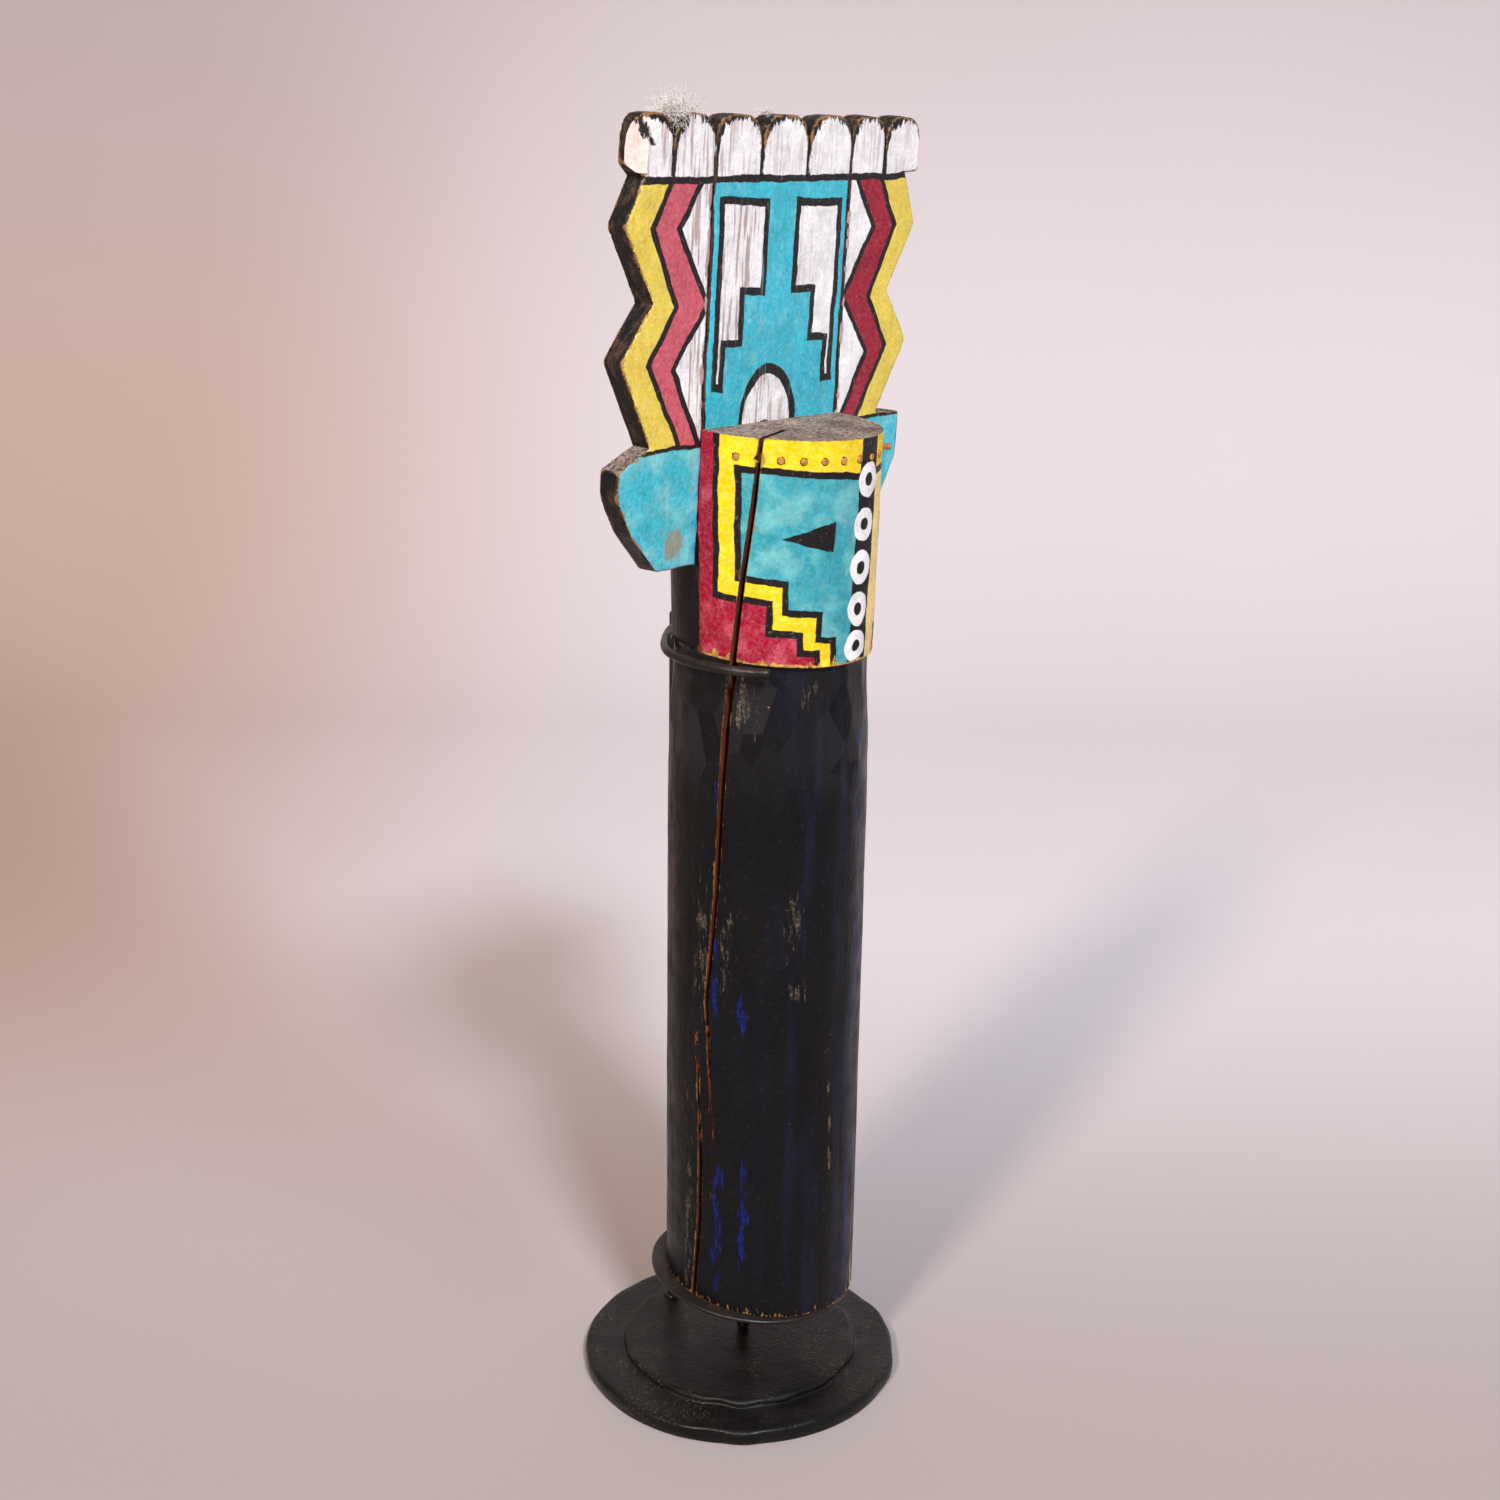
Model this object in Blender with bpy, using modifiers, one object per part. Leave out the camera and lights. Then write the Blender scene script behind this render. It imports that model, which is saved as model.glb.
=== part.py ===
# Prayer stick doll: one carved and split log with a lobed tablet, two pegged-on side boards with ears,
# and the turned base with wires that holds it upright. Metres, +Z up, the mask looks towards -Y.
import bmesh
import bpy
from math import atan2, cos, pi, radians, sin, tan
from mathutils import Matrix, Vector

MM = 0.001
GAP = 0.3 * MM

# Stand base, turned in two tiers
BASE_RADIUS = 58.5 * MM
BASE_HEIGHT = 6.0 * MM
TIER_RADIUS = 43.8 * MM
TIER_HEIGHT = 2.6 * MM
BASE_EDGE = 1.6 * MM

# Stand rods, the plate under the log and the hoop round it
ROD_RADIUS = 2.4 * MM
PLATE_RADIUS = 37.4 * MM
PLATE_THICKNESS = 1.5 * MM
PLATE_OFFSET_X = -2.6 * MM
PLATE_OFFSET_Y = 1.9 * MM
HOOP_WIRE_RADIUS = 1.55 * MM
HOOP_CLEARANCE = 2.15 * MM
HOOP_BELOW_MASK = 1.1 * MM
HOOP_RISE = 0.045
HOOP_PINCH = 2.9 * MM
HOOP_PINCH_ANGLE = radians(143)
HOOP_PINCH_SPREAD = radians(40)
HOOP_TIP_ANGLE = radians(-51)
HOOP_END_ANGLE = radians(64)
UPRIGHT_OVERRUN = 3.5 * MM
UPRIGHT_CLEARANCE = 1.3 * MM
PIN_OFFSET_Y = 7.2 * MM

# Log, round at the bottom and waisted under the mask
LOG_RADIUS = 35.0 * MM
LOG_X = 4.4 * MM
LOG_Y = -5.3 * MM
LOG_FOOT = 38.5 * MM
FOOT_SLOPE_X = -0.05
FOOT_SLOPE_Y = 0.098
WAIST_RADIUS = 33.8 * MM
WAIST_LENGTH = 30.0 * MM

# Mask block, the upper end of the log
MASK_BOTTOM = 277.5 * MM
MASK_BOTTOM_SLOPE = 0.09
MASK_HEIGHT = 74.5 * MM
MASK_TOP_SLOPE = 0.068
MASK_LIP = 0.7 * MM
MASK_FLARE = 1.4 * MM
MASK_FORWARD = 0.9 * MM
SHOULDER_DROP = radians(45)

# Tablet and side boards, one slightly forward leaning plane
BOARD_THICKNESS = 7.8 * MM
BOARD_LEAN = radians(3.05)
BOARD_FACE_Y = 4.2 * MM
BOARD_PIVOT = 300.0 * MM
TABLET_HALF = 35.0 * MM
EDGE_ROUND = 0.7 * MM

# Side board outline: distances from the centre line, ear heights above the ear's bottom, wing heights
# above the mask
EAR_BELOW_MASK_TOP = 41.8 * MM
EAR_HEIGHT_LEFT = 40.6 * MM
EAR_HEIGHT_RIGHT = 42.4 * MM
EAR_REACH = 74.2 * MM
EAR_BOTTOM_REACH = 54.5 * MM
EAR_BULGE = 67.2 * MM
EAR_BULGE_RISE = 13.4 * MM
EAR_WIDEST_RISE = 25.8 * MM
EAR_TOP_DROP_LEFT = 6.2 * MM
EAR_TOP_DROP_RIGHT = 0.5 * MM
WING_ROOT = 60.0 * MM
WING_PEAK = 75.0 * MM
WING_NOTCH = 61.2 * MM
WING_SHOULDER = 67.2 * MM
LOWER_PEAK_RISE = 26.0 * MM
NOTCH_RISE = 43.3 * MM
UPPER_PEAK_RISE = 66.0 * MM
PEAK_ROUND = 3.0 * MM

# Lobed cornice
CORNICE_RISE = 81.8 * MM
CORNICE_END_LEFT = 71.0 * MM
CORNICE_END_RIGHT = 74.6 * MM
CORNICE_UNDERCUT = 3.6 * MM
CORNICE_SLOPE = 0.019
LOBE_STRAIGHT = 8.0 * MM
LOBE_ARCH = 10.6 * MM
LOBE_GAP = 0.9 * MM
LOBE_SPLIT = 54.4 * MM
TABLET_LOBE_SPLIT = 12.0 * MM
LOBE_SQUARENESS = 0.62
LOBE_FULLNESS = 0.8
DIVIDER_WIDTH = 1.6 * MM
END_CHAMFER = 4.8 * MM
END_CHAMFER_DEPTH = 5.0 * MM

# Brow pegs round the top of the mask
PEG_RADIUS = 1.1 * MM
PEG_DEPTH = 5.6 * MM
PEG_PROUD = 0.35 * MM
LOOSE_PEG_PROUD = 3.2 * MM
PEG_COUNT = 13
PEG_FIRST_ANGLE = radians(-72.2)
PEG_STEP = radians(11.8)
PEG_BELOW_TOP = 6.6 * MM
EMPTY_PEG_HOLE = 1
LOOSE_PEG = 10

# Drying crack: angle round the log, height above the floor, width
CRACK_DEPTH = 21.0 * MM
CRACK_FACING = radians(-72)
MAIN_CRACK = [(-55.7, 359, 1.6), (-58.2, 348, 1.9), (-60.6, 333, 2.0), (-66.2, 309, 2.2), (-70.4, 287, 2.4),
              (-74.1, 270, 2.3), (-77.7, 235, 2.0), (-80.2, 199, 1.8), (-83.7, 173, 1.6), (-86.2, 158, 1.5),
              (-83.7, 132, 1.0), (-81.8, 105, 0.5)]
FOOT_CRACK = [(-92.5, 134, 0.6), (-89.6, 96, 1.5), (-90, 72, 1.7), (-95.3, 30, 1.8)]

# Fineness of round shapes
LOG_STEPS = 72
BASE_STEPS = 80
HOOP_STEPS = 56
ROD_SIDES = 20
PEG_SIDES = 10
ARC_STEPS = 5
SAW_SIZE = 200 * MM
FLAT_ANGLE = radians(0.5)

# Values that follow from the ones above
STAND_TOP = BASE_HEIGHT + TIER_HEIGHT
HOOP_RADIUS = LOG_RADIUS + HOOP_CLEARANCE + HOOP_WIRE_RADIUS
MASK_TOP = MASK_BOTTOM + MASK_HEIGHT
EAR_BOTTOM = MASK_TOP - EAR_BELOW_MASK_TOP
CORNICE_BOTTOM = MASK_TOP + CORNICE_RISE
LOBE_SPRING = CORNICE_BOTTOM + LOBE_STRAIGHT
LOBE_TOP = LOBE_SPRING + LOBE_ARCH
UPRIGHT_Y = LOG_Y + PLATE_OFFSET_Y + PLATE_RADIUS + UPRIGHT_CLEARANCE + ROD_RADIUS
HOOP_Y = UPRIGHT_Y - ROD_RADIUS - GAP - HOOP_WIRE_RADIUS - HOOP_RADIUS
MASK_Y = LOG_Y - MASK_FORWARD
MASK_RADIUS_LOW = WAIST_RADIUS + MASK_LIP
MASK_RADIUS_TOP = MASK_RADIUS_LOW + MASK_FLARE
BOARD_INNER = TABLET_HALF + GAP


def clear_scene():
    for item in list(bpy.data.objects):
        bpy.data.objects.remove(item)


def new_collection(name):
    group = bpy.data.collections.new(name)
    bpy.context.scene.collection.children.link(group)
    return group


def paint(name, colour, roughness, metallic=0.0):
    material = bpy.data.materials.new(name)
    material.use_nodes = True
    shader = material.node_tree.nodes["Principled BSDF"]
    shader.inputs["Base Color"].default_value = (*colour, 1)
    shader.inputs["Roughness"].default_value = roughness
    shader.inputs["Metallic"].default_value = metallic
    return material


def add_part(item, material):
    parts.objects.link(item)
    item.data.materials.clear()
    item.data.materials.append(material)
    return item


def add_cutter(item):
    cutters.objects.link(item)
    item.hide_render = True
    item.display_type = "WIRE"
    return item


def turned(name, profile, steps, location):
    """A solid of revolution: (radius, height) points from the top of the axis down to its bottom."""
    mesh = bpy.data.meshes.new(name)
    points = [(radius, 0, height) for radius, height in profile]
    mesh.from_pydata(points, [(i, i + 1) for i in range(len(points) - 1)], [])
    item = bpy.data.objects.new(name, mesh)
    item.location = location
    screw = item.modifiers.new("Turn", "SCREW")
    screw.steps = steps
    screw.render_steps = steps
    screw.use_merge_vertices = True
    screw.merge_threshold = 0.00001
    screw.use_smooth_shade = True
    return item


def rounded(corners):
    """An outline from (x, y, radius) corners, with an arc at each corner whose radius isn't zero."""
    outline = []
    for index, (x, y, radius) in enumerate(corners):
        here = Vector((x, y))
        back = (Vector(corners[index - 1][:2]) - here).normalized()
        ahead = (Vector(corners[(index + 1) % len(corners)][:2]) - here).normalized()
        if radius == 0:
            outline.append(here)
            continue
        half = back.angle(ahead) / 2
        start = here + back * (radius / tan(half))
        end = here + ahead * (radius / tan(half))
        middle = here + (back + ahead).normalized() * (radius / sin(half))
        turn = (start - middle).angle_signed(end - middle)
        for step in range(ARC_STEPS + 1):
            spoke = start - middle
            spoke.rotate(Matrix.Rotation(-turn * step / ARC_STEPS, 2))
            outline.append(middle + spoke)
    return outline


def flat_piece(name, outline, thickness):
    """A board of even thickness, cut from a 2D outline, as a mesh centred on its own mid plane."""
    curve = bpy.data.curves.new(name + "_outline", "CURVE")
    curve.dimensions = "2D"
    curve.fill_mode = "BOTH"
    curve.extrude = thickness / 2
    spline = curve.splines.new("POLY")
    spline.points.add(len(outline) - 1)
    for point, place in zip(spline.points, outline):
        point.co = (place[0], place[1], 0, 1)
    spline.use_cyclic_u = True
    source = bpy.data.objects.new(name + "_outline", curve)
    cutters.objects.link(source)
    bpy.context.view_layer.update()
    mesh = bpy.data.meshes.new_from_object(source.evaluated_get(bpy.context.evaluated_depsgraph_get()))
    weld(mesh)
    bpy.data.objects.remove(source)
    mesh.name = name
    return bpy.data.objects.new(name, mesh)


def weld(mesh):
    """Closes the caps of a filled curve and joins their triangles into one face each."""
    work = bmesh.new()
    work.from_mesh(mesh)
    bmesh.ops.remove_doubles(work, verts=work.verts, dist=0.000005)
    bmesh.ops.dissolve_limit(work, angle_limit=FLAT_ANGLE, verts=work.verts, edges=work.edges)
    bmesh.ops.recalc_face_normals(work, faces=work.faces)
    work.to_mesh(mesh)
    work.free()


def ease_edges(item, width, segments=2):
    """Rounds the rims of a flat piece's two faces, and leaves the corners of its outline as drawn."""
    weights = item.data.attributes.new("bevel_weight_edge", "FLOAT", "EDGE")
    for edge in item.data.edges:
        first, second = [item.data.vertices[index].co.z for index in edge.vertices]
        weights.data[edge.index].value = 1.0 if abs(first - second) < GAP else 0.0
    bevel = item.modifiers.new("Eased edges", "BEVEL")
    bevel.width = width
    bevel.segments = segments
    bevel.limit_method = "WEIGHT"
    bevel.use_clamp_overlap = False


def cut(item, tool, operation="DIFFERENCE"):
    boolean = item.modifiers.new(tool.name, "BOOLEAN")
    boolean.operation = operation
    boolean.object = tool
    boolean.solver = "EXACT"


def saw(name, point, normal):
    """A large block whose flat face passes through the point; it removes what lies along the normal."""
    outward = Vector(normal).normalized()
    turn = outward.to_track_quat("Z", "Y").to_matrix().to_4x4()
    return block(name, (SAW_SIZE, SAW_SIZE, SAW_SIZE), Vector(point) + outward * SAW_SIZE / 2, turn)


def block(name, size, centre, turn=Matrix()):
    bpy.ops.mesh.primitive_cube_add(size=1)
    item = bpy.context.object
    item.name = name
    for group in item.users_collection:
        group.objects.unlink(item)
    item.data.transform(Matrix.Diagonal((*size, 1)))
    item.matrix_world = Matrix.Translation(centre) @ turn
    return add_cutter(item)


def cylinder(name, radius, length, sides):
    bpy.ops.mesh.primitive_cylinder_add(vertices=sides, radius=radius, depth=length)
    item = bpy.context.object
    item.name = name
    for group in item.users_collection:
        group.objects.unlink(item)
    return item


def wire(name, points, radius):
    curve = bpy.data.curves.new(name, "CURVE")
    curve.dimensions = "3D"
    curve.bevel_depth = radius
    curve.bevel_resolution = 2
    curve.use_fill_caps = True
    spline = curve.splines.new("POLY")
    spline.points.add(len(points) - 1)
    for point, place in zip(spline.points, points):
        point.co = (*place, 1)
    spline.use_smooth = True
    return bpy.data.objects.new(name, curve)


def board_matrix():
    """Places a flat piece drawn as (across, height above the floor) on the leaning board plane."""
    lean = Matrix.Rotation(pi / 2 + BOARD_LEAN, 4, "X")
    pivot = Matrix.Translation((LOG_X, LOG_Y + BOARD_FACE_Y, BOARD_PIVOT))
    sink = Matrix.Translation((0, -BOARD_PIVOT, -BOARD_THICKNESS / 2))
    return pivot @ lean @ sink


def lobe(left, right):
    """The rounded top of one lobe, from its right foot over to its left one."""
    middle = (left + right) / 2
    half = (right - left) / 2
    points = []
    for step in range(2 * ARC_STEPS + 1):
        angle = pi * step / (2 * ARC_STEPS)
        across = half * abs(cos(angle)) ** LOBE_SQUARENESS
        if angle > pi / 2:
            across = -across
        points.append((middle + across, LOBE_SPRING + LOBE_ARCH * abs(sin(angle)) ** LOBE_FULLNESS))
    return points


def divider(name, across):
    """A knife groove down the front of the cornice between two lobes."""
    height = LOBE_STRAIGHT + GAP
    place = board_matrix() @ Matrix.Translation((across, CORNICE_BOTTOM + height / 2, BOARD_THICKNESS / 2))
    groove = block(name, (DIVIDER_WIDTH, height * 1.2, DIVIDER_WIDTH), (0, 0, 0))
    groove.matrix_world = place @ Matrix.Rotation(pi / 4, 4, "Y")
    return groove


def make_base(material):
    top = STAND_TOP
    edge = BASE_EDGE
    profile = [(0, top), (TIER_RADIUS - edge, top), (TIER_RADIUS - edge * 0.3, top - edge * 0.3),
               (TIER_RADIUS, top - edge * 0.9), (TIER_RADIUS - edge * 0.25, BASE_HEIGHT),
               (BASE_RADIUS - edge, BASE_HEIGHT), (BASE_RADIUS - edge * 0.3, BASE_HEIGHT - edge * 0.3),
               (BASE_RADIUS, BASE_HEIGHT - edge), (BASE_RADIUS, edge * 0.5), (BASE_RADIUS - edge * 0.5, 0),
               (0, 0)]
    add_part(turned("stand_base", profile, BASE_STEPS, (0, 0, 0)), material)


def foot_height(x, y):
    """Height of the log's slanting sawn foot, x and y measured from the log's axis."""
    return LOG_FOOT + FOOT_SLOPE_X * x + FOOT_SLOPE_Y * y


def make_upright(material):
    bottom = STAND_TOP + GAP
    length = hoop_height(HOOP_Y + HOOP_RADIUS) + UPRIGHT_OVERRUN - bottom
    upright = add_part(cylinder("stand_upright", ROD_RADIUS, length, ROD_SIDES), material)
    upright.location = (LOG_X, UPRIGHT_Y, bottom + length / 2)


def make_plate(material):
    """The thin round plate that the log stands on, tilted with the log's foot, and the pin under it."""
    low = -PLATE_THICKNESS
    edge = PLATE_THICKNESS / 4
    profile = [(0, 0), (PLATE_RADIUS - edge, 0), (PLATE_RADIUS, -edge), (PLATE_RADIUS, low + edge),
               (PLATE_RADIUS - edge, low), (0, low)]
    top = foot_height(PLATE_OFFSET_X, PLATE_OFFSET_Y) - GAP
    place = (LOG_X + PLATE_OFFSET_X, LOG_Y + PLATE_OFFSET_Y, top)
    plate = add_part(turned("stand_plate", profile, LOG_STEPS, place), material)
    plate.rotation_mode = "QUATERNION"
    plate.rotation_quaternion = Vector((-FOOT_SLOPE_X, -FOOT_SLOPE_Y, 1)).to_track_quat("Z", "Y")
    bottom = STAND_TOP + GAP
    slant = (abs(FOOT_SLOPE_X) + abs(FOOT_SLOPE_Y)) * ROD_RADIUS
    pin_top = foot_height(0, PIN_OFFSET_Y) - 2 * GAP - PLATE_THICKNESS - slant
    pin = add_part(cylinder("stand_pin", ROD_RADIUS, pin_top - bottom, ROD_SIDES), material)
    pin.location = (LOG_X, LOG_Y + PIN_OFFSET_Y, (pin_top + bottom) / 2)


def hoop_height(y):
    """The hoop lies in a plane that rises towards the upright."""
    return MASK_BOTTOM - HOOP_BELOW_MASK + HOOP_RISE * (y - (HOOP_Y - HOOP_RADIUS))


def hoop_radius(turn):
    """The wire is squeezed against the log on both sides of the upright; turn is measured from the front."""
    off = min(1, abs(abs(turn) - HOOP_PINCH_ANGLE) / HOOP_PINCH_SPREAD)
    return HOOP_RADIUS - HOOP_PINCH * (1 + cos(pi * off)) / 2


def make_hoop(material):
    sweep = 2 * pi - (HOOP_END_ANGLE - HOOP_TIP_ANGLE)
    steps = round(HOOP_STEPS * sweep / (2 * pi))
    points = []
    for step in range(steps + 1):
        angle = HOOP_TIP_ANGLE - sweep * step / steps
        radius = hoop_radius((angle + pi) % (2 * pi) - pi)
        y = HOOP_Y - radius * cos(angle)
        points.append((LOG_X + radius * sin(angle), y, hoop_height(y)))
    add_part(wire("stand_upper_hoop", points, HOOP_WIRE_RADIUS), material)


def crack_tool(name, path):
    """A thin wandering slab that splits the log along a path of (degrees, height in mm, width in mm)."""
    left = []
    right = []
    for degrees, height, width in path:
        across = LOG_RADIUS * sin(radians(degrees) - CRACK_FACING)
        left.append((across - width * MM / 2, height * MM))
        right.append((across + width * MM / 2, height * MM))
    reach = CRACK_DEPTH * 2
    tool = flat_piece(name, left + right[::-1], reach)
    facing = Matrix.Rotation(CRACK_FACING, 4, "Z") @ Matrix.Rotation(pi / 2, 4, "X")
    middle = LOG_RADIUS - CRACK_DEPTH + reach / 2
    outward = Vector((sin(CRACK_FACING), -cos(CRACK_FACING), 0)) * middle
    tool.matrix_world = Matrix.Translation(Vector((LOG_X, LOG_Y, 0)) + outward) @ facing
    return add_cutter(tool)


def crown_height(y):
    """The sawn top of the mask rises from its brow to the tablet; y is measured from the mask's axis."""
    return MASK_TOP + MASK_TOP_SLOPE * (y + MASK_RADIUS_TOP)


def peg_height(angle):
    return crown_height(-MASK_RADIUS_TOP * cos(angle)) - PEG_BELOW_TOP


def peg_place(angle):
    """On the mask's axis, with +Z pointing out along the peg."""
    turn = Matrix.Rotation(angle, 4, "Z") @ Matrix.Rotation(pi / 2, 4, "X")
    return Matrix.Translation((LOG_X, MASK_Y, peg_height(angle))) @ turn


def peg_surface(angle):
    return mask_radius(peg_height(angle))


def mask_radius(height):
    share = (height - MASK_BOTTOM) / (MASK_TOP - MASK_BOTTOM)
    return MASK_RADIUS_LOW + MASK_FLARE * share


def make_log(material):
    axis = (LOG_X, LOG_Y, 0)
    top = crown_height(MASK_RADIUS_TOP)
    log_profile = [(0, top), (WAIST_RADIUS, top), (WAIST_RADIUS, MASK_BOTTOM),
                   (LOG_RADIUS, MASK_BOTTOM - WAIST_LENGTH), (LOG_RADIUS, LOG_FOOT / 2), (0, LOG_FOOT / 2)]
    log = add_part(turned("carved_log", log_profile, LOG_STEPS, axis), material)
    low = MASK_BOTTOM - WAIST_LENGTH / 2
    block_profile = [(0, top), (mask_radius(top), top), (mask_radius(low), low), (0, low)]
    mask = add_cutter(turned("mask_block", block_profile, LOG_STEPS, (LOG_X, MASK_Y, 0)))
    lip = (LOG_X, MASK_Y - MASK_RADIUS_LOW, MASK_BOTTOM)
    cut(mask, saw("mask_lower_saw", lip, (0, MASK_BOTTOM_SLOPE, -1)))
    cut(log, mask, "UNION")
    cut(log, saw("foot_saw", (LOG_X, LOG_Y, LOG_FOOT), (FOOT_SLOPE_X, FOOT_SLOPE_Y, -1)))
    cut(log, saw("crown_saw", (LOG_X, MASK_Y, crown_height(0)), (0, -MASK_TOP_SLOPE, 1)))
    back_at_pivot = LOG_Y + BOARD_FACE_Y + BOARD_THICKNESS / cos(BOARD_LEAN)
    board_back = back_at_pivot - (MASK_TOP - BOARD_PIVOT) * tan(BOARD_LEAN)
    cut(log, saw("shoulder_saw", (LOG_X, board_back, MASK_TOP), (0, sin(SHOULDER_DROP), cos(SHOULDER_DROP))))
    cut(log, make_tablet(), "UNION")
    for side in (-1, 1):
        cut(log, side_seat(side))
    cut(log, crack_tool("main_crack", MAIN_CRACK))
    cut(log, crack_tool("foot_crack", FOOT_CRACK))
    for index in range(PEG_COUNT):
        angle = PEG_FIRST_ANGLE + PEG_STEP * index
        length = 3 * PEG_DEPTH
        hole = add_cutter(cylinder(f"peg_hole_{index + 1}", PEG_RADIUS + GAP, length, PEG_SIDES))
        bottom = peg_surface(angle) - PEG_DEPTH - GAP
        hole.matrix_world = peg_place(angle) @ Matrix.Translation((0, 0, bottom + length / 2))
        cut(log, hole)


def make_tablet():
    """The upright slab that rises from the mask, with the three middle lobes."""
    foot = EAR_BOTTOM
    outline = [(-TABLET_HALF, foot), (TABLET_HALF, foot)]
    outer = TABLET_LOBE_SPLIT + LOBE_GAP / 2
    inner = TABLET_LOBE_SPLIT - LOBE_GAP / 2
    outline += lobe(outer, TABLET_HALF) + lobe(-inner, inner) + lobe(-TABLET_HALF, -outer)
    tablet = add_cutter(flat_piece("tablet", hang(outline, 1), BOARD_THICKNESS))
    tablet.matrix_world = board_matrix()
    ease_edges(tablet, EDGE_ROUND)
    for side in (-1, 1):
        cut(tablet, divider(f"tablet_divider_{side + 2}", side * TABLET_LOBE_SPLIT))
    return tablet


def side_seat(side):
    """The flat seat on the log's side that a side board is pegged against."""
    width = 2 * BOARD_INNER
    height = SAW_SIZE
    seat = block(f"side_seat_{side + 2}", (width, height, BOARD_THICKNESS + 2 * GAP), (0, 0, 0))
    centre = Matrix.Translation((side * (TABLET_HALF + width / 2), EAR_BOTTOM - GAP + height / 2, 0))
    seat.matrix_world = board_matrix() @ centre
    return seat


def hang(outline, side):
    """Mirrors an outline to its side of the figure and gives the cornice its slight slope."""
    placed = []
    upper_peak = MASK_TOP + UPPER_PEAK_RISE
    for x, y in outline:
        rise = min(1, max(0, (y - upper_peak) / (CORNICE_BOTTOM - upper_peak)))
        placed.append((side * x, y + CORNICE_SLOPE * side * x * rise))
    return placed


def side_board_outline(ear_height, ear_top_drop, cornice_end, undercut):
    """Ear, zigzag wing and two lobes of the board on the right, going round from the inner bottom corner."""
    ear_top = EAR_BOTTOM + ear_height
    corners = [(BOARD_INNER, EAR_BOTTOM, 0), (EAR_BOTTOM_REACH, EAR_BOTTOM, PEAK_ROUND),
               (EAR_BULGE, EAR_BOTTOM + EAR_BULGE_RISE, 4 * PEAK_ROUND),
               (EAR_REACH, EAR_BOTTOM + EAR_WIDEST_RISE, 2 * PEAK_ROUND),
               (EAR_REACH, ear_top - ear_top_drop, PEAK_ROUND / 2), (WING_ROOT, ear_top, 0),
               (WING_PEAK, MASK_TOP + LOWER_PEAK_RISE, PEAK_ROUND),
               (WING_NOTCH, MASK_TOP + NOTCH_RISE, PEAK_ROUND / 2),
               (WING_PEAK, MASK_TOP + UPPER_PEAK_RISE, PEAK_ROUND), (WING_SHOULDER, CORNICE_BOTTOM, 0),
               (cornice_end, CORNICE_BOTTOM + undercut, PEAK_ROUND / 2)]
    spring_line = [(cornice_end, LOBE_SPRING, 0), (BOARD_INNER, LOBE_SPRING, 0)]
    below_lobes = [tuple(point) for point in rounded(corners + spring_line)][:-len(spring_line)]
    lobes = lobe(LOBE_SPLIT + LOBE_GAP / 2, cornice_end) + lobe(BOARD_INNER, LOBE_SPLIT - LOBE_GAP / 2)
    return below_lobes + lobes


def make_side_board(name, side, outline, material):
    outline = hang(outline, side)
    board = add_part(flat_piece(name, outline, BOARD_THICKNESS), material)
    board.matrix_world = board_matrix()
    ease_edges(board, EDGE_ROUND)
    cut(board, divider(f"{name}_divider", side * LOBE_SPLIT))
    return board


def chamfer_left_end(board):
    """The knife cut that slants the front corner of the cornice's left end."""
    normal = Vector((-END_CHAMFER_DEPTH, 0, END_CHAMFER)).normalized()
    start = Vector((END_CHAMFER - CORNICE_END_LEFT, LOBE_TOP, BOARD_THICKNESS / 2))
    size = 4 * END_CHAMFER
    knife = block("end_knife", (size, 2 * (LOBE_STRAIGHT + LOBE_ARCH), size), (0, 0, 0))
    turn = Matrix.Rotation(atan2(normal.x, normal.z), 4, "Y")
    knife.matrix_world = board_matrix() @ Matrix.Translation(start + normal * size / 2) @ turn
    cut(board, knife)


def make_pegs(material):
    for index in range(PEG_COUNT):
        if index == EMPTY_PEG_HOLE:
            continue
        proud = LOOSE_PEG_PROUD if index == LOOSE_PEG else PEG_PROUD
        angle = PEG_FIRST_ANGLE + PEG_STEP * index
        length = PEG_DEPTH + proud
        peg = add_part(cylinder(f"brow_peg_{index + 1}", PEG_RADIUS, length, PEG_SIDES), material)
        top = peg_surface(angle) + proud
        peg.matrix_world = peg_place(angle) @ Matrix.Translation((0, 0, top - length / 2))


clear_scene()
parts = new_collection("prayer_stick_doll")
cutters = new_collection("cutters")
black_metal = paint("black_metal", (0.02, 0.02, 0.022), 0.42, 0.4)
painted_wood = paint("painted_wood", (0.05, 0.045, 0.045), 0.6)
board_paint = paint("board_paint", (0.09, 0.4, 0.47), 0.6)
peg_wood = paint("peg_wood", (0.3, 0.14, 0.05), 0.7)
make_base(black_metal)
make_upright(black_metal)
make_plate(black_metal)
make_hoop(black_metal)
make_log(painted_wood)
left_outline = side_board_outline(EAR_HEIGHT_LEFT, EAR_TOP_DROP_LEFT, CORNICE_END_LEFT, CORNICE_UNDERCUT)
right_outline = side_board_outline(EAR_HEIGHT_RIGHT, EAR_TOP_DROP_RIGHT, CORNICE_END_RIGHT, GAP)
chamfer_left_end(make_side_board("left_side_board", -1, left_outline, board_paint))
make_side_board("right_side_board", 1, right_outline, board_paint)
make_pegs(peg_wood)
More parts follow.
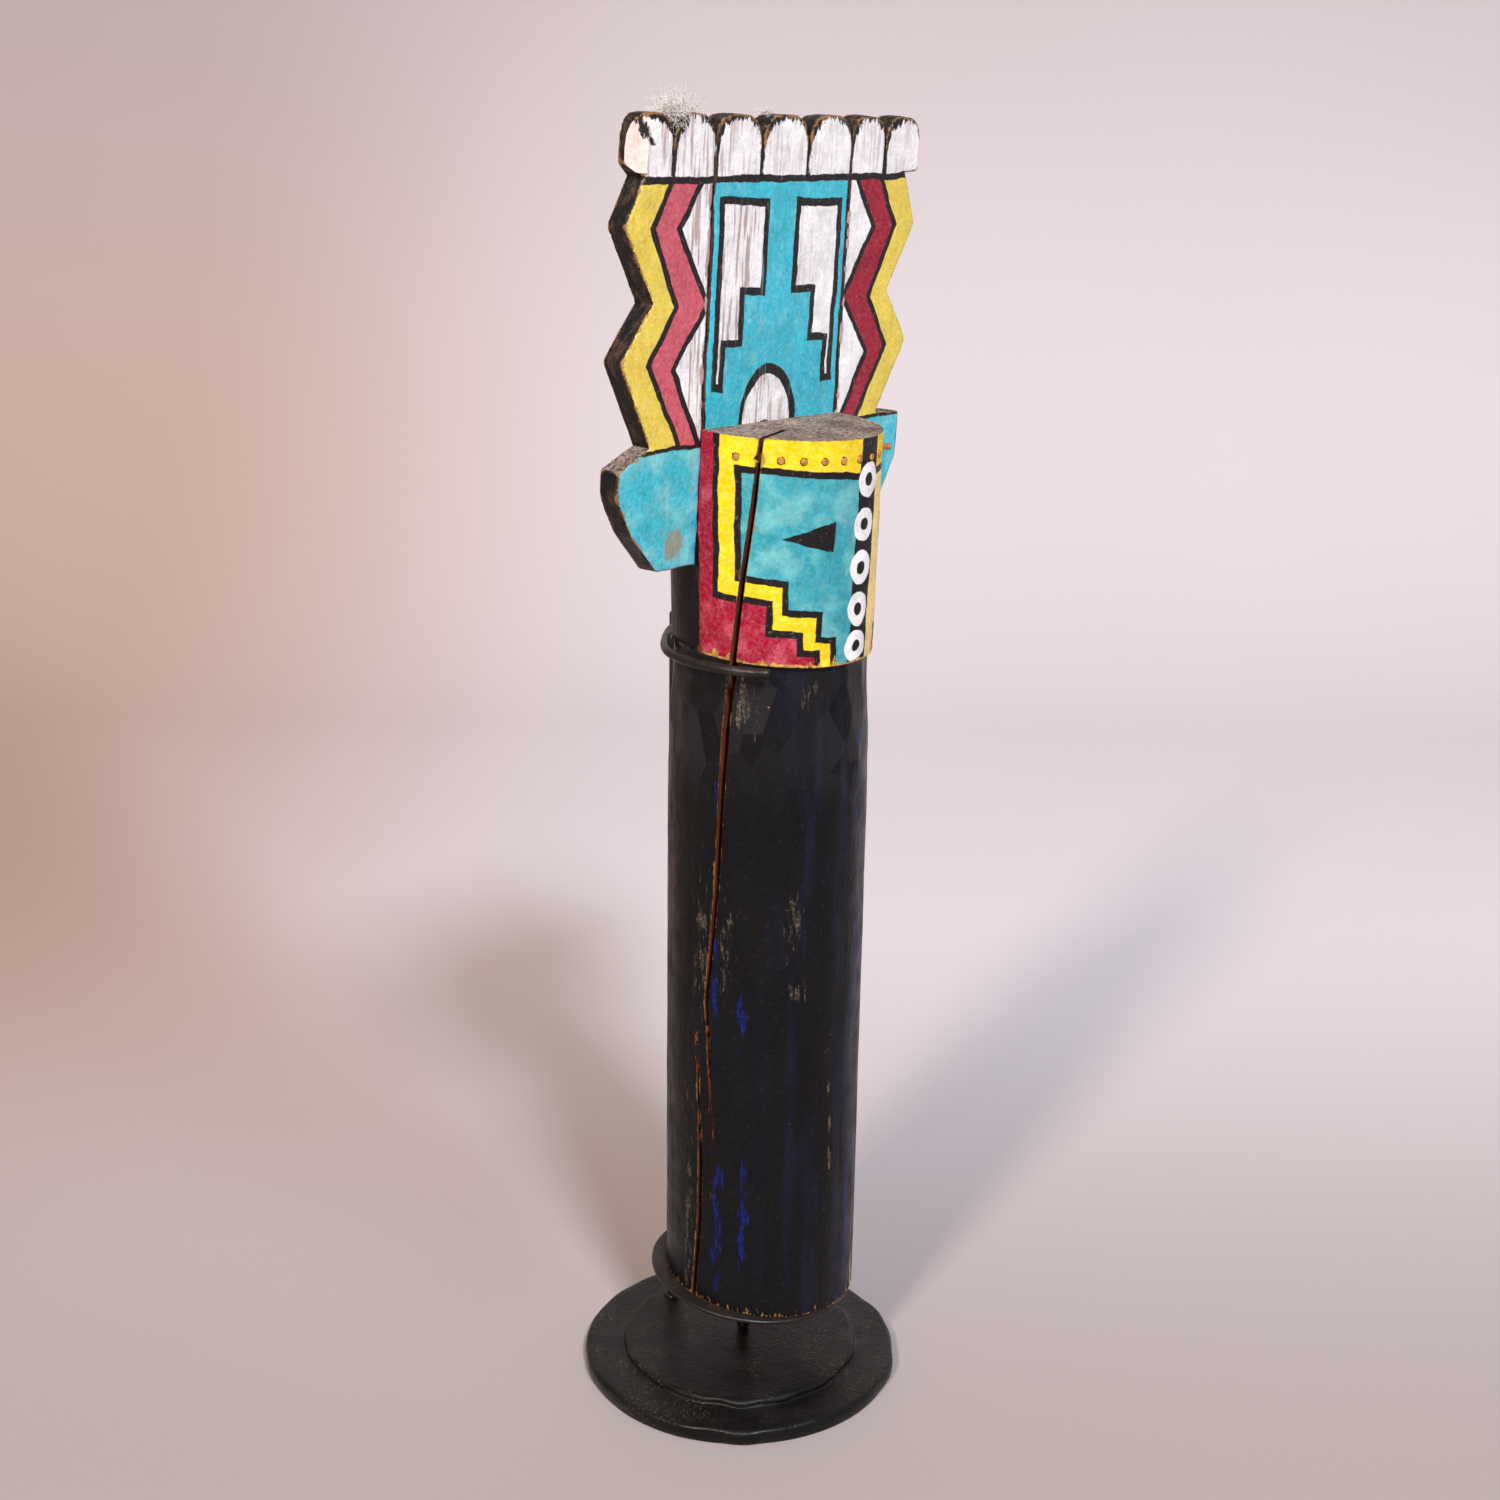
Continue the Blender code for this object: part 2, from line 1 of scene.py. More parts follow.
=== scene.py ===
# Prayer stick doll: the finish of every surface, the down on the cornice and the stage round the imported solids.
# Metres, +Z up, the mask looks towards -Y.
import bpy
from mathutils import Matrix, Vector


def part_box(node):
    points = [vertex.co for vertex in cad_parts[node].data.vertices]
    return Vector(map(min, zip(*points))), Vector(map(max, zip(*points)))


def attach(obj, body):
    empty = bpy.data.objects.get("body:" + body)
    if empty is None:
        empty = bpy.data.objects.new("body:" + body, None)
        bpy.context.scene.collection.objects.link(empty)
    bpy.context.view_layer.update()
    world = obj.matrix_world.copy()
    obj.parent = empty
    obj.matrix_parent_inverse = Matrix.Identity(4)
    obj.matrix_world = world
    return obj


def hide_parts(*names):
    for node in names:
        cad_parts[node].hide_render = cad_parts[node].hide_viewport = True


bl_info = {
    "name": "Prayer Stick Doll",
    "version": (1, 0, 0),
    "blender": (4, 5, 0),
    "location": "View3D > Sidebar > Prayer Stick Doll",
    "description": "Carved and painted log figure with lobed side boards, held in a round wire stand",
    "category": "Object",
}

from math import atan2, cos, degrees, hypot, pi, radians, sin, tau

import bmesh
import bpy
from bpy.props import FloatProperty, FloatVectorProperty, IntProperty, PointerProperty
from mathutils import Matrix, Vector, noise

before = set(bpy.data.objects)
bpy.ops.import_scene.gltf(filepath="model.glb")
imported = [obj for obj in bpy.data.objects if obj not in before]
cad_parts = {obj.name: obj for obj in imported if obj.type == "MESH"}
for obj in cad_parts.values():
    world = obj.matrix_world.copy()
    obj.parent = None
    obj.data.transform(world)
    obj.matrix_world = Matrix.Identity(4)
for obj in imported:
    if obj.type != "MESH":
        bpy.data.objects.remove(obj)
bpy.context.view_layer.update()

MM = 0.001
PER_METRE = 1000.0

# Where the frame's pieces are, in millimetres
UPRIGHT_LOW, UPRIGHT_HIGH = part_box("stand_upright")
BASE_LOW, BASE_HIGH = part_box("stand_base")
LOG_LOW, LOG_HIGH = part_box("carved_log")
LOG_X = (UPRIGHT_LOW[0] + UPRIGHT_HIGH[0]) / 2 * PER_METRE
LOG_Y = -5.3
LOG_RADIUS = 35.0
MASK_BOTTOM = 277.5
MASK_BOTTOM_SLOPE = 0.09
MASK_TOP = 352.0
MASK_TOP_SLOPE = 0.068
BOARD_LEAN = radians(3.05)
BOARD_PIVOT = 300.0
BOARD_FACE_Y = LOG_Y + 4.2
TABLET_HALF = 35.0
CORNICE_BOTTOM = 433.8
CORNICE_SLOPE = 0.019
LOBE_SPRING = 441.8
LOBE_TOP = 452.4
LOBE_EDGES = (-71.0, -54.6, -34.8, -12.3, 11.6, 34.6, 54.2, 74.6)


def tone(red, green, blue):
    """A colour as it is seen, from 0 to 255, turned into the linear values that shaders take."""
    shares = [value / 255 for value in (red, green, blue)]
    return tuple(s / 12.92 if s <= 0.04045 else ((s + 0.055) / 1.055) ** 2.4 for s in shares)


BLACK = tone(12, 12, 14)
INK = tone(32, 28, 29)
WHITE = tone(250, 247, 244)
PRIMER = tone(192, 164, 160)
BARE_WOOD = tone(176, 132, 84)
CRACK_DARK = tone(52, 25, 12)
CRACK_BROWN = tone(146, 78, 26)
PALE_YELLOW = tone(255, 224, 146)
BLUE = tone(18, 36, 116)


def colour_property(label, text, default):
    return FloatVectorProperty(name=label, description=text, default=default, subtype="COLOR", min=0, max=1)


class DOLL_PG_paint(bpy.types.PropertyGroup):
    turquoise: colour_property("Turquoise", "Ground of the tablet and the ears", tone(68, 192, 210))
    mask_turquoise: colour_property("Mask turquoise", "Left field of the mask", tone(104, 180, 183))
    yellow: colour_property("Yellow", "Stair band of the mask", tone(248, 212, 44))
    wing_yellow: colour_property("Wing yellow", "Outer zigzag of the side boards", tone(240, 214, 92))
    red: colour_property("Red", "Cheek of the mask", tone(160, 34, 56))
    wing_red: colour_property("Wing red", "Inner zigzag of the side boards", tone(210, 96, 110))
    wobble: FloatProperty(name="Brush wobble", description="How far painted edges wander, in millimetres",
                          default=0.95, min=0, max=3)
    line: FloatProperty(name="Line width", description="Width of the black lines, in millimetres",
                        default=2.1, min=0.5, max=5)


class DOLL_PG_carving(bpy.types.PropertyGroup):
    cell: FloatProperty(name="Cell", description="Edge length of the refined carving", default=1.15 * MM,
                        min=0.0005, max=0.005, unit="LENGTH")
    facet: FloatProperty(name="Facet depth", description="Depth of the knife facets on the neck",
                         default=0.45 * MM, min=0, max=0.002, unit="LENGTH")
    grain: FloatProperty(name="Grain depth", description="Depth of the raised wood grain",
                         default=0.06 * MM, min=0, max=0.001, unit="LENGTH")
    fibres: IntProperty(name="Down fibres", description="Number of fibres in the tuft", default=480, min=0,
                        max=900)


class DOLL_PG_stage(bpy.types.PropertyGroup):
    key_power: FloatProperty(name="Key light", description="Power of the warm light on the left", default=5.6,
                             min=0, unit="POWER")
    fill_power: FloatProperty(name="Fill light", description="Power of the cool light on the right",
                              default=11.0, min=0, unit="POWER")
    floor: colour_property("Floor", "Colour of the floor and backdrop", tone(232, 224, 226))


class Web:
    """Builds a shader tree step by step; each method gives back the socket that the next step takes."""

    def __init__(self, tree):
        self.tree = tree

    def add(self, kind, **settings):
        item = self.tree.nodes.new("ShaderNode" + kind)
        for name, value in settings.items():
            setattr(item, name, value)
        return item

    def feed(self, socket, value):
        if isinstance(value, bpy.types.NodeSocket):
            self.tree.links.new(value, socket)
        elif socket.type == "RGBA":
            socket.default_value = (*value[:3], 1)
        else:
            socket.default_value = value

    def math(self, operation, *values, clamp=False):
        item = self.add("Math", operation=operation, use_clamp=clamp)
        for socket, value in zip(item.inputs, values):
            self.feed(socket, value)
        return item.outputs[0]

    def vector(self, operation, *values):
        item = self.add("VectorMath", operation=operation)
        for socket, value in zip(item.inputs, values):
            self.feed(socket, value)
        gives_number = operation in {"LENGTH", "DOT_PRODUCT", "DISTANCE"}
        return item.outputs["Value" if gives_number else "Vector"]

    def scaled(self, vector, factor):
        item = self.add("VectorMath", operation="SCALE")
        self.feed(item.inputs[0], vector)
        self.feed(item.inputs["Scale"], factor)
        return item.outputs[0]

    def stretched(self, vector, scale):
        item = self.add("Mapping")
        self.feed(item.inputs["Vector"], vector)
        item.inputs["Scale"].default_value = scale
        return item.outputs[0]

    def place(self):
        return self.add("TexCoord").outputs["Object"]

    def normal(self):
        return self.add("TexCoord").outputs["Normal"]

    def noise(self, place, size, detail=2.0, roughness=0.5, colour=False):
        """Noise with lumps of about the given size in metres."""
        item = self.add("TexNoise")
        self.feed(item.inputs["Vector"], place)
        item.inputs["Scale"].default_value = 1 / size
        item.inputs["Detail"].default_value = detail
        item.inputs["Roughness"].default_value = roughness
        return item.outputs["Color" if colour else "Factor" if "Factor" in item.outputs else "Fac"]

    def ramp(self, value, low, high, start=0.0, end=1.0):
        item = self.add("MapRange", interpolation_type="SMOOTHSTEP")
        for socket, given in zip(item.inputs, (value, low, high, start, end)):
            self.feed(socket, given)
        return item.outputs[0]

    def inside(self, distance, soft=0.16):
        """1 where the distance is below zero, with a soft rim, both in millimetres."""
        return self.ramp(distance, -soft, soft, 1.0, 0.0)

    def blend(self, share, first, second):
        item = self.add("Mix", data_type="RGBA")
        colours = [socket for socket in item.inputs if socket.type == "RGBA"]
        self.feed(item.inputs[0], share)
        self.feed(colours[0], first)
        self.feed(colours[1], second)
        return [socket for socket in item.outputs if socket.type == "RGBA"][0]

    def lay(self, under, colour, distance, soft=0.16):
        """Paints a colour over another where the distance is below zero."""
        return self.blend(self.inside(distance, soft), under, colour)

    def least(self, distances):
        result = distances[0]
        for distance in distances[1:]:
            result = self.math("MINIMUM", result, distance)
        return result

    def line_of(self, value, points, low, high):
        """A curve through (value, result) points joined by straight lines; it gives the result back."""
        item = self.add("FloatCurve")
        span = [place[0] for place in points]
        curve = item.mapping.curves[0]
        item.mapping.use_clip = False
        while len(curve.points) > 2:
            curve.points.remove(curve.points[-1])
        width = span[-1] - span[0]
        for index, (x, y) in enumerate(points):
            spot = ((x - span[0]) / width, (y - low) / (high - low))
            if index < 2:
                curve.points[index].location = spot
            else:
                curve.points.new(*spot)
        for point in curve.points:
            point.handle_type = "VECTOR"
        item.mapping.update()
        scaled = self.math("DIVIDE", self.math("SUBTRACT", value, span[0]), width, clamp=True)
        self.feed(item.inputs["Value"], scaled)
        return self.math("MULTIPLY_ADD", item.outputs[0], high - low, low)

    def group(self, name, **values):
        item = self.add("Group")
        item.node_tree = bpy.data.node_groups[name]
        for label, value in values.items():
            self.feed(item.inputs[label.replace("_", " ").capitalize()], value)
        return item.outputs


def new_group(name, inputs, outputs):
    """An empty shader node group, its web, the sockets that it is given and the node that it gives to."""
    tree = bpy.data.node_groups.new(name, "ShaderNodeTree")
    kinds = {float: "NodeSocketFloat", tuple: "NodeSocketColor"}
    for label, default in inputs.items():
        socket = tree.interface.new_socket(name=label, in_out="INPUT", socket_type=kinds[type(default)])
        socket.default_value = (*default, 1) if isinstance(default, tuple) else default
    for label, kind in outputs.items():
        tree.interface.new_socket(name=label, in_out="OUTPUT", socket_type=kinds[kind])
    given = tree.nodes.new("NodeGroupInput").outputs
    gives = tree.nodes.new("NodeGroupOutput").inputs
    return Web(tree), given, gives


def make_wobble(web, amount):
    """The surface's own place, moved about a little as an unsteady brush would."""
    place = web.place()
    slow = web.vector("SUBTRACT", web.noise(place, 0.011, 1.0, colour=True), (0.5, 0.5, 0.5))
    quick = web.vector("SUBTRACT", web.noise(place, 0.0028, 1.0, colour=True), (0.5, 0.5, 0.5))
    both = web.vector("ADD", slow, web.scaled(quick, 0.4))
    return web.vector("ADD", place, web.scaled(both, web.math("MULTIPLY", amount, MM * 2)))


def board_mapping():
    """Turn and shift that bring a place on the leaning boards to (across, height, depth)."""
    turn = Matrix.Rotation(-(pi / 2 + BOARD_LEAN), 4, "X")
    pivot = Vector((LOG_X * MM, BOARD_FACE_Y * MM, BOARD_PIVOT * MM))
    return turn.to_euler(), turn @ -pivot + Vector((0, BOARD_PIVOT * MM, 0))


def build_board_place():
    web, given, gives = new_group("Board place", {"Wobble": 0.7},
                                  {"Across": float, "Height": float, "Depth": float, "Facing": float})
    mapping = web.add("Mapping")
    mapping.inputs["Rotation"].default_value, mapping.inputs["Location"].default_value = board_mapping()
    web.feed(mapping.inputs["Vector"], make_wobble(web, given["Wobble"]))
    parts = web.add("SeparateXYZ")
    web.feed(parts.inputs[0], web.scaled(mapping.outputs[0], PER_METRE))
    for label, socket in zip(("Across", "Height", "Depth"), parts.outputs):
        web.feed(gives[label], socket)
    front = (0, -cos(BOARD_LEAN), -sin(BOARD_LEAN))
    web.feed(gives["Facing"], web.vector("DOT_PRODUCT", web.normal(), front))


def build_round_place():
    web, given, gives = new_group("Round place", {"Wobble": 0.7},
                                  {"Turn": float, "Height": float, "Radius": float})
    parts = web.add("SeparateXYZ")
    web.feed(parts.inputs[0], web.scaled(make_wobble(web, given["Wobble"]), PER_METRE))
    across = web.math("SUBTRACT", parts.outputs[0], LOG_X)
    front = web.math("SUBTRACT", LOG_Y, parts.outputs[1])
    web.feed(gives["Turn"], web.math("DEGREES", web.math("ARCTAN2", across, front)))
    web.feed(gives["Height"], parts.outputs[2])
    squares = web.math("ADD", web.math("MULTIPLY", across, across), web.math("MULTIPLY", front, front))
    web.feed(gives["Radius"], web.math("SQRT", squares))


def build_painted_box():
    web, given, gives = new_group("Painted box", {"Across": 0.0, "Height": 0.0, "Left": -1.0, "Right": 1.0,
                                                  "Bottom": -1.0, "Top": 1.0}, {"Distance": float})
    sides = web.math("MAXIMUM", web.math("SUBTRACT", given["Left"], given["Across"]),
                     web.math("SUBTRACT", given["Across"], given["Right"]))
    ends = web.math("MAXIMUM", web.math("SUBTRACT", given["Bottom"], given["Height"]),
                    web.math("SUBTRACT", given["Height"], given["Top"]))
    web.feed(gives["Distance"], web.math("MAXIMUM", sides, ends))


def build_painted_arch():
    web, given, gives = new_group("Painted arch", {"Across": 0.0, "Height": 0.0, "Centre": 0.0, "Half width": 1.0,
                                                   "Spring": 0.0, "Rise": 1.0, "Squareness": 2.0},
                                  {"Distance": float})
    power = given["Squareness"]
    across = web.math("ABSOLUTE", web.math("SUBTRACT", given["Across"], given["Centre"]))
    above = web.math("MAXIMUM", web.math("SUBTRACT", given["Height"], given["Spring"]), 0.0)
    up = web.math("MULTIPLY", web.math("DIVIDE", above, given["Rise"]), given["Half width"])
    powers = web.math("ADD", web.math("POWER", across, power), web.math("POWER", up, power))
    reach = web.math("POWER", powers, web.math("DIVIDE", 1.0, power))
    web.feed(gives["Distance"], web.math("SUBTRACT", reach, given["Half width"]))


def build_painted_disc():
    web, given, gives = new_group("Painted disc", {"Across": 0.0, "Height": 0.0, "Centre": 0.0, "Middle": 0.0,
                                                   "Slimness": 0.98}, {"Distance": float})
    across = web.math("MULTIPLY", web.math("SUBTRACT", given["Across"], given["Centre"]), given["Slimness"])
    up = web.math("SUBTRACT", given["Height"], given["Middle"])
    squares = web.math("ADD", web.math("MULTIPLY", across, across), web.math("MULTIPLY", up, up))
    web.feed(gives["Distance"], web.math("SQRT", squares))


def build_weathered_paint():
    """Mottled, thinly brushed paint with small chips that show what is under it."""
    web, given, gives = new_group("Weathered paint", {"Colour": WHITE, "Under": BARE_WOOD, "Mottle": 0.25,
                                                      "Chips": 0.3},
                                  {"Colour": tuple, "Chipped": float, "Relief": float})
    place = web.place()
    broad = web.noise(place, 0.010, 3.0, 0.6)
    medium = web.noise(place, 0.0036, 3.0, 0.6)
    fine = web.noise(place, 0.0013, 3.0, 0.65)
    clouds = web.math("MULTIPLY", web.math("SUBTRACT", web.math("ADD", broad, medium), 1.0), 1.7)
    both = web.math("ADD", clouds, web.math("SUBTRACT", fine, 0.5))
    light = web.math("MULTIPLY_ADD", web.math("MULTIPLY", both, given["Mottle"]), 1.3, 1.0)
    item = web.add("HueSaturation")
    web.feed(item.inputs["Value"], light)
    web.feed(item.inputs["Saturation"], web.math("MULTIPLY_ADD", web.math("SUBTRACT", 0.5, fine), 0.5, 1.0))
    web.feed(item.inputs["Color"], given["Colour"])
    spots = web.noise(place, 0.0034, 5.0, 0.78)
    limit = web.math("MULTIPLY_ADD", given["Chips"], -0.2, 0.74)
    chipped = web.ramp(web.math("SUBTRACT", spots, limit), 0.0, 0.02)
    thin = web.math("MULTIPLY", web.ramp(web.noise(place, 0.0017, 3.0, 0.7), 0.60, 0.70), given["Mottle"])
    rubbed = web.blend(web.math("MULTIPLY", thin, 0.5), item.outputs[0], tone(226, 220, 206))
    web.feed(gives["Colour"], web.blend(chipped, rubbed, given["Under"]))
    web.feed(gives["Chipped"], chipped)
    strokes = web.noise(web.stretched(place, (1, 1, 0.12)), 0.0011, 2.0)
    relief = web.math("MULTIPLY_ADD", chipped, -0.8, web.math("MULTIPLY_ADD", strokes, 0.35, fine))
    web.feed(gives["Relief"], relief)


def build_wood_grain():
    """Wood whose grain runs up the log, from light to dark, with fine open pores."""
    web, given, gives = new_group("Wood grain", {"Light": BARE_WOOD, "Dark": CRACK_BROWN, "Length": 0.08},
                                  {"Colour": tuple, "Relief": float})
    run = web.add("CombineXYZ")
    run.inputs[0].default_value = 1
    run.inputs[1].default_value = 1
    web.feed(run.inputs[2], given["Length"])
    place = web.vector("MULTIPLY", web.place(), run.outputs[0])
    rings = web.noise(place, 0.0022, 4.0, 0.6)
    pores = web.noise(place, 0.0006, 2.0, 0.7)
    mixed = web.math("MULTIPLY_ADD", pores, 0.45, web.math("MULTIPLY", rings, 0.75))
    web.feed(gives["Colour"], web.blend(web.ramp(mixed, 0.42, 0.78), given["Dark"], given["Light"]))
    web.feed(gives["Relief"], mixed)


def build_edge_wear():
    """Rubbed convex edges, broken up so that they look handled."""
    web, given, gives = new_group("Edge wear", {"Reach": 0.5}, {"Mask": float})
    sharpness = web.add("NewGeometry").outputs["Pointiness"]
    rough = web.noise(web.place(), 0.003, 4.0, 0.7)
    worn = web.math("MULTIPLY_ADD", web.math("SUBTRACT", rough, 0.5), 0.09, sharpness)
    limit = web.math("MULTIPLY_ADD", given["Reach"], -0.05, 0.575)
    web.feed(gives["Mask"], web.ramp(web.math("SUBTRACT", worn, limit), 0.0, 0.02))


def build_dust():
    """Loose pale specks, and a film on whatever faces up."""
    web, given, gives = new_group("Dust", {"Colour": BLACK, "Dust colour": tone(150, 138, 126), "Amount": 0.3},
                                  {"Colour": tuple, "Mask": float})
    place = web.place()
    specks = web.ramp(web.noise(place, 0.0016, 2.0, 0.6), 0.74, 0.80)
    parts = web.add("SeparateXYZ")
    web.feed(parts.inputs[0], web.normal())
    up = web.math("MAXIMUM", parts.outputs[2], 0.0)
    film = web.math("MULTIPLY", web.noise(place, 0.02, 4.0, 0.6), web.math("MULTIPLY", up, 0.5))
    mask = web.math("MULTIPLY", web.math("MAXIMUM", specks, film), given["Amount"], clamp=True)
    web.feed(gives["Colour"], web.blend(mask, given["Colour"], given["Dust colour"]))
    web.feed(gives["Mask"], mask)


def build_groups():
    for build in (build_board_place, build_round_place, build_painted_box, build_painted_arch,
                  build_painted_disc, build_weathered_paint, build_wood_grain, build_edge_wear, build_dust):
        build()


def new_material(name):
    material = bpy.data.materials.new(name)
    material.use_nodes = True
    return Web(material.node_tree), material.node_tree.nodes["Principled BSDF"], material


def finish_surface(web, shader, colour, roughness, height, depth):
    """Joins colour, roughness and a bump of the given depth in metres to the shader."""
    web.feed(shader.inputs["Base Color"], colour)
    web.feed(shader.inputs["Roughness"], roughness)
    bump = web.add("Bump")
    bump.inputs["Strength"].default_value = 0.8
    bump.inputs["Distance"].default_value = depth
    web.feed(bump.inputs["Height"], height)
    web.feed(shader.inputs["Normal"], bump.outputs[0])


def arc(turn):
    """Millimetres round the mask for an angle in degrees."""
    return radians(turn) * (LOG_RADIUS + 1)


def stair(web, across, height, treads):
    """Distance to a stair-shaped field, from (left edge, bottom, top) of each tread."""
    return web.least([web.group("Painted box", Across=across, Height=height, Left=left, Right=200.0,
                                Bottom=bottom, Top=top)["Distance"] for left, bottom, top in treads])


def painted_mask(web, paint, turn, height):
    """Half turquoise, half yellow face with stair bands, a brow band, wedge eyes and a ringed centre band."""
    middle = 6.0
    folded = web.math("SUBTRACT", middle, web.math("ABSOLUTE", web.math("SUBTRACT", turn, middle)))
    across = web.math("MULTIPLY", folded, arc(1))
    level = web.math("MULTIPLY_ADD", folded, 0.05, height)
    right_half = web.ramp(turn, middle, middle + 1)
    field = stair(web, across, level, [(arc(-67.6), 305.4, 338.8), (arc(-42), 295.6, 338.8),
                                       (arc(-22.6), 287.2, 338.8), (arc(-13.2), 200.0, 338.8)])
    band = stair(web, across, level, [(arc(-80.4), 298.2, 500.0), (arc(-50.2), 288.4, 500.0),
                                      (arc(-33.6), 282.2, 500.0), (arc(-23.6), 200.0, 500.0)])
    rose = web.ramp(web.noise(web.place(), 0.0075, 3.0, 0.6), 0.46, 0.66, 0.0, 0.6)
    cheek = web.blend(rose, paint.red, tone(200, 92, 108))
    colour = web.lay(cheek, INK, web.math("SUBTRACT", band, paint.line + 0.2))
    colour = web.lay(colour, paint.yellow, band)
    colour = web.lay(colour, INK, web.math("SUBTRACT", field, paint.line + 0.2))
    clouds = web.ramp(web.noise(web.place(), 0.011, 3.0, 0.55), 0.40, 0.62)
    deep = tuple(share * value for share, value in zip((0.36, 0.74, 0.84), paint.mask_turquoise))
    washed = web.blend(clouds, deep, paint.mask_turquoise)
    field_colour = web.blend(right_half, washed, PALE_YELLOW)
    colour = web.lay(colour, field_colour, field)
    eye = [(arc(-46.6), 321.0), (arc(-16.6), 326.0), (arc(-18.0), 315.7)]
    sides = []
    for index, (x, y) in enumerate(eye):
        ahead = eye[(index + 1) % 3]
        along = Vector((ahead[0] - x, ahead[1] - y)).normalized()
        out = (-along.y, along.x)
        step = web.math("MULTIPLY", web.math("SUBTRACT", across, x), out[0])
        sides.append(web.math("MULTIPLY_ADD", web.math("SUBTRACT", height, y), out[1], step))
    wedge = web.math("MAXIMUM", web.math("MAXIMUM", sides[0], sides[1]), sides[2])
    colour = web.lay(colour, INK, wedge)
    straight = web.math("MULTIPLY", turn, arc(1))
    leaning = web.math("MULTIPLY_ADD", web.math("SUBTRACT", height, 286.0), arc(0.077), arc(4.0))
    off = web.math("ABSOLUTE", web.math("SUBTRACT", straight, leaning))
    colour = web.lay(colour, INK, web.math("SUBTRACT", off, arc(8.5)))
    rings = [web.group("Painted disc", Across=straight, Height=height, Centre=arc(x), Middle=y)["Distance"]
             for x, y in ((8.1, 338.1), (5.3, 323.7), (3.9, 309.6), (2.6, 295.6), (1.8, 283.3))]
    ring = web.least(rings)
    colour = web.lay(colour, WHITE, web.math("SUBTRACT", ring, 5.6))
    return web.lay(colour, INK, web.math("SUBTRACT", ring, 2.2))


# Blue brush streaks on the log: angle and height of the middle, width and length in millimetres
STREAKS = ((-79, 235, 2.4, 13), (12, 231, 1.6, 30), (14, 167, 1.7, 28), (-80, 177, 2.0, 11), (-64, 154, 2.2, 15),
           (-81, 160, 1.9, 15), (-77, 90, 2.6, 9), (-78, 67, 2.8, 34), (-62, 74, 2.6, 32), (12.5, 66, 1.9, 40))
# Pale scuffs on the log, in the same terms
SCUFFS = ((-67, 266, 7.0, 17), (-90, 180, 4.0, 22), (-74, 178, 3.0, 14), (-36, 189, 4.6, 12), (-33, 163, 4.4, 5),
          (-100, 73, 1.4, 20), (-26, 268, 5.0, 6))
# Hair cracks in the paint: (height, angle) points and half width; the first two carry on the open cracks
HAIR_CRACKS = ((((88, -80.8), (105, -81.8), (132, -83.7), (150, -85.3)), 0.3), (((30, -95.3), (72, -90.0), (96, -89.6), (140, -92.9)), 0.3),
               (((94, -6.3), (114, -8.2), (135, -11.0)), 0.16))
LOG_FOOT = 38.5
FOOT_SLOPE_X = -0.05
FOOT_SLOPE_Y = 0.098


def streaked(web, placed, marks, raggedness):
    """Distance in millimetres to the nearest of some upright oval marks with ragged rims."""
    straight = web.math("MULTIPLY", placed["Turn"], arc(1))
    strokes = []
    for turn, level, width, length in marks:
        across = web.math("SUBTRACT", straight, arc(turn))
        up = web.math("MULTIPLY", web.math("SUBTRACT", placed["Height"], float(level)), width / length)
        squares = web.math("ADD", web.math("MULTIPLY", across, across), web.math("MULTIPLY", up, up))
        strokes.append(web.math("SUBTRACT", web.math("SQRT", squares), width / 2))
    dry = web.noise(web.stretched(web.place(), (1, 1, 0.2)), 0.0016, 4.0, 0.7)
    return web.math("MULTIPLY_ADD", web.math("SUBTRACT", 0.5, dry), raggedness, web.least(strokes))


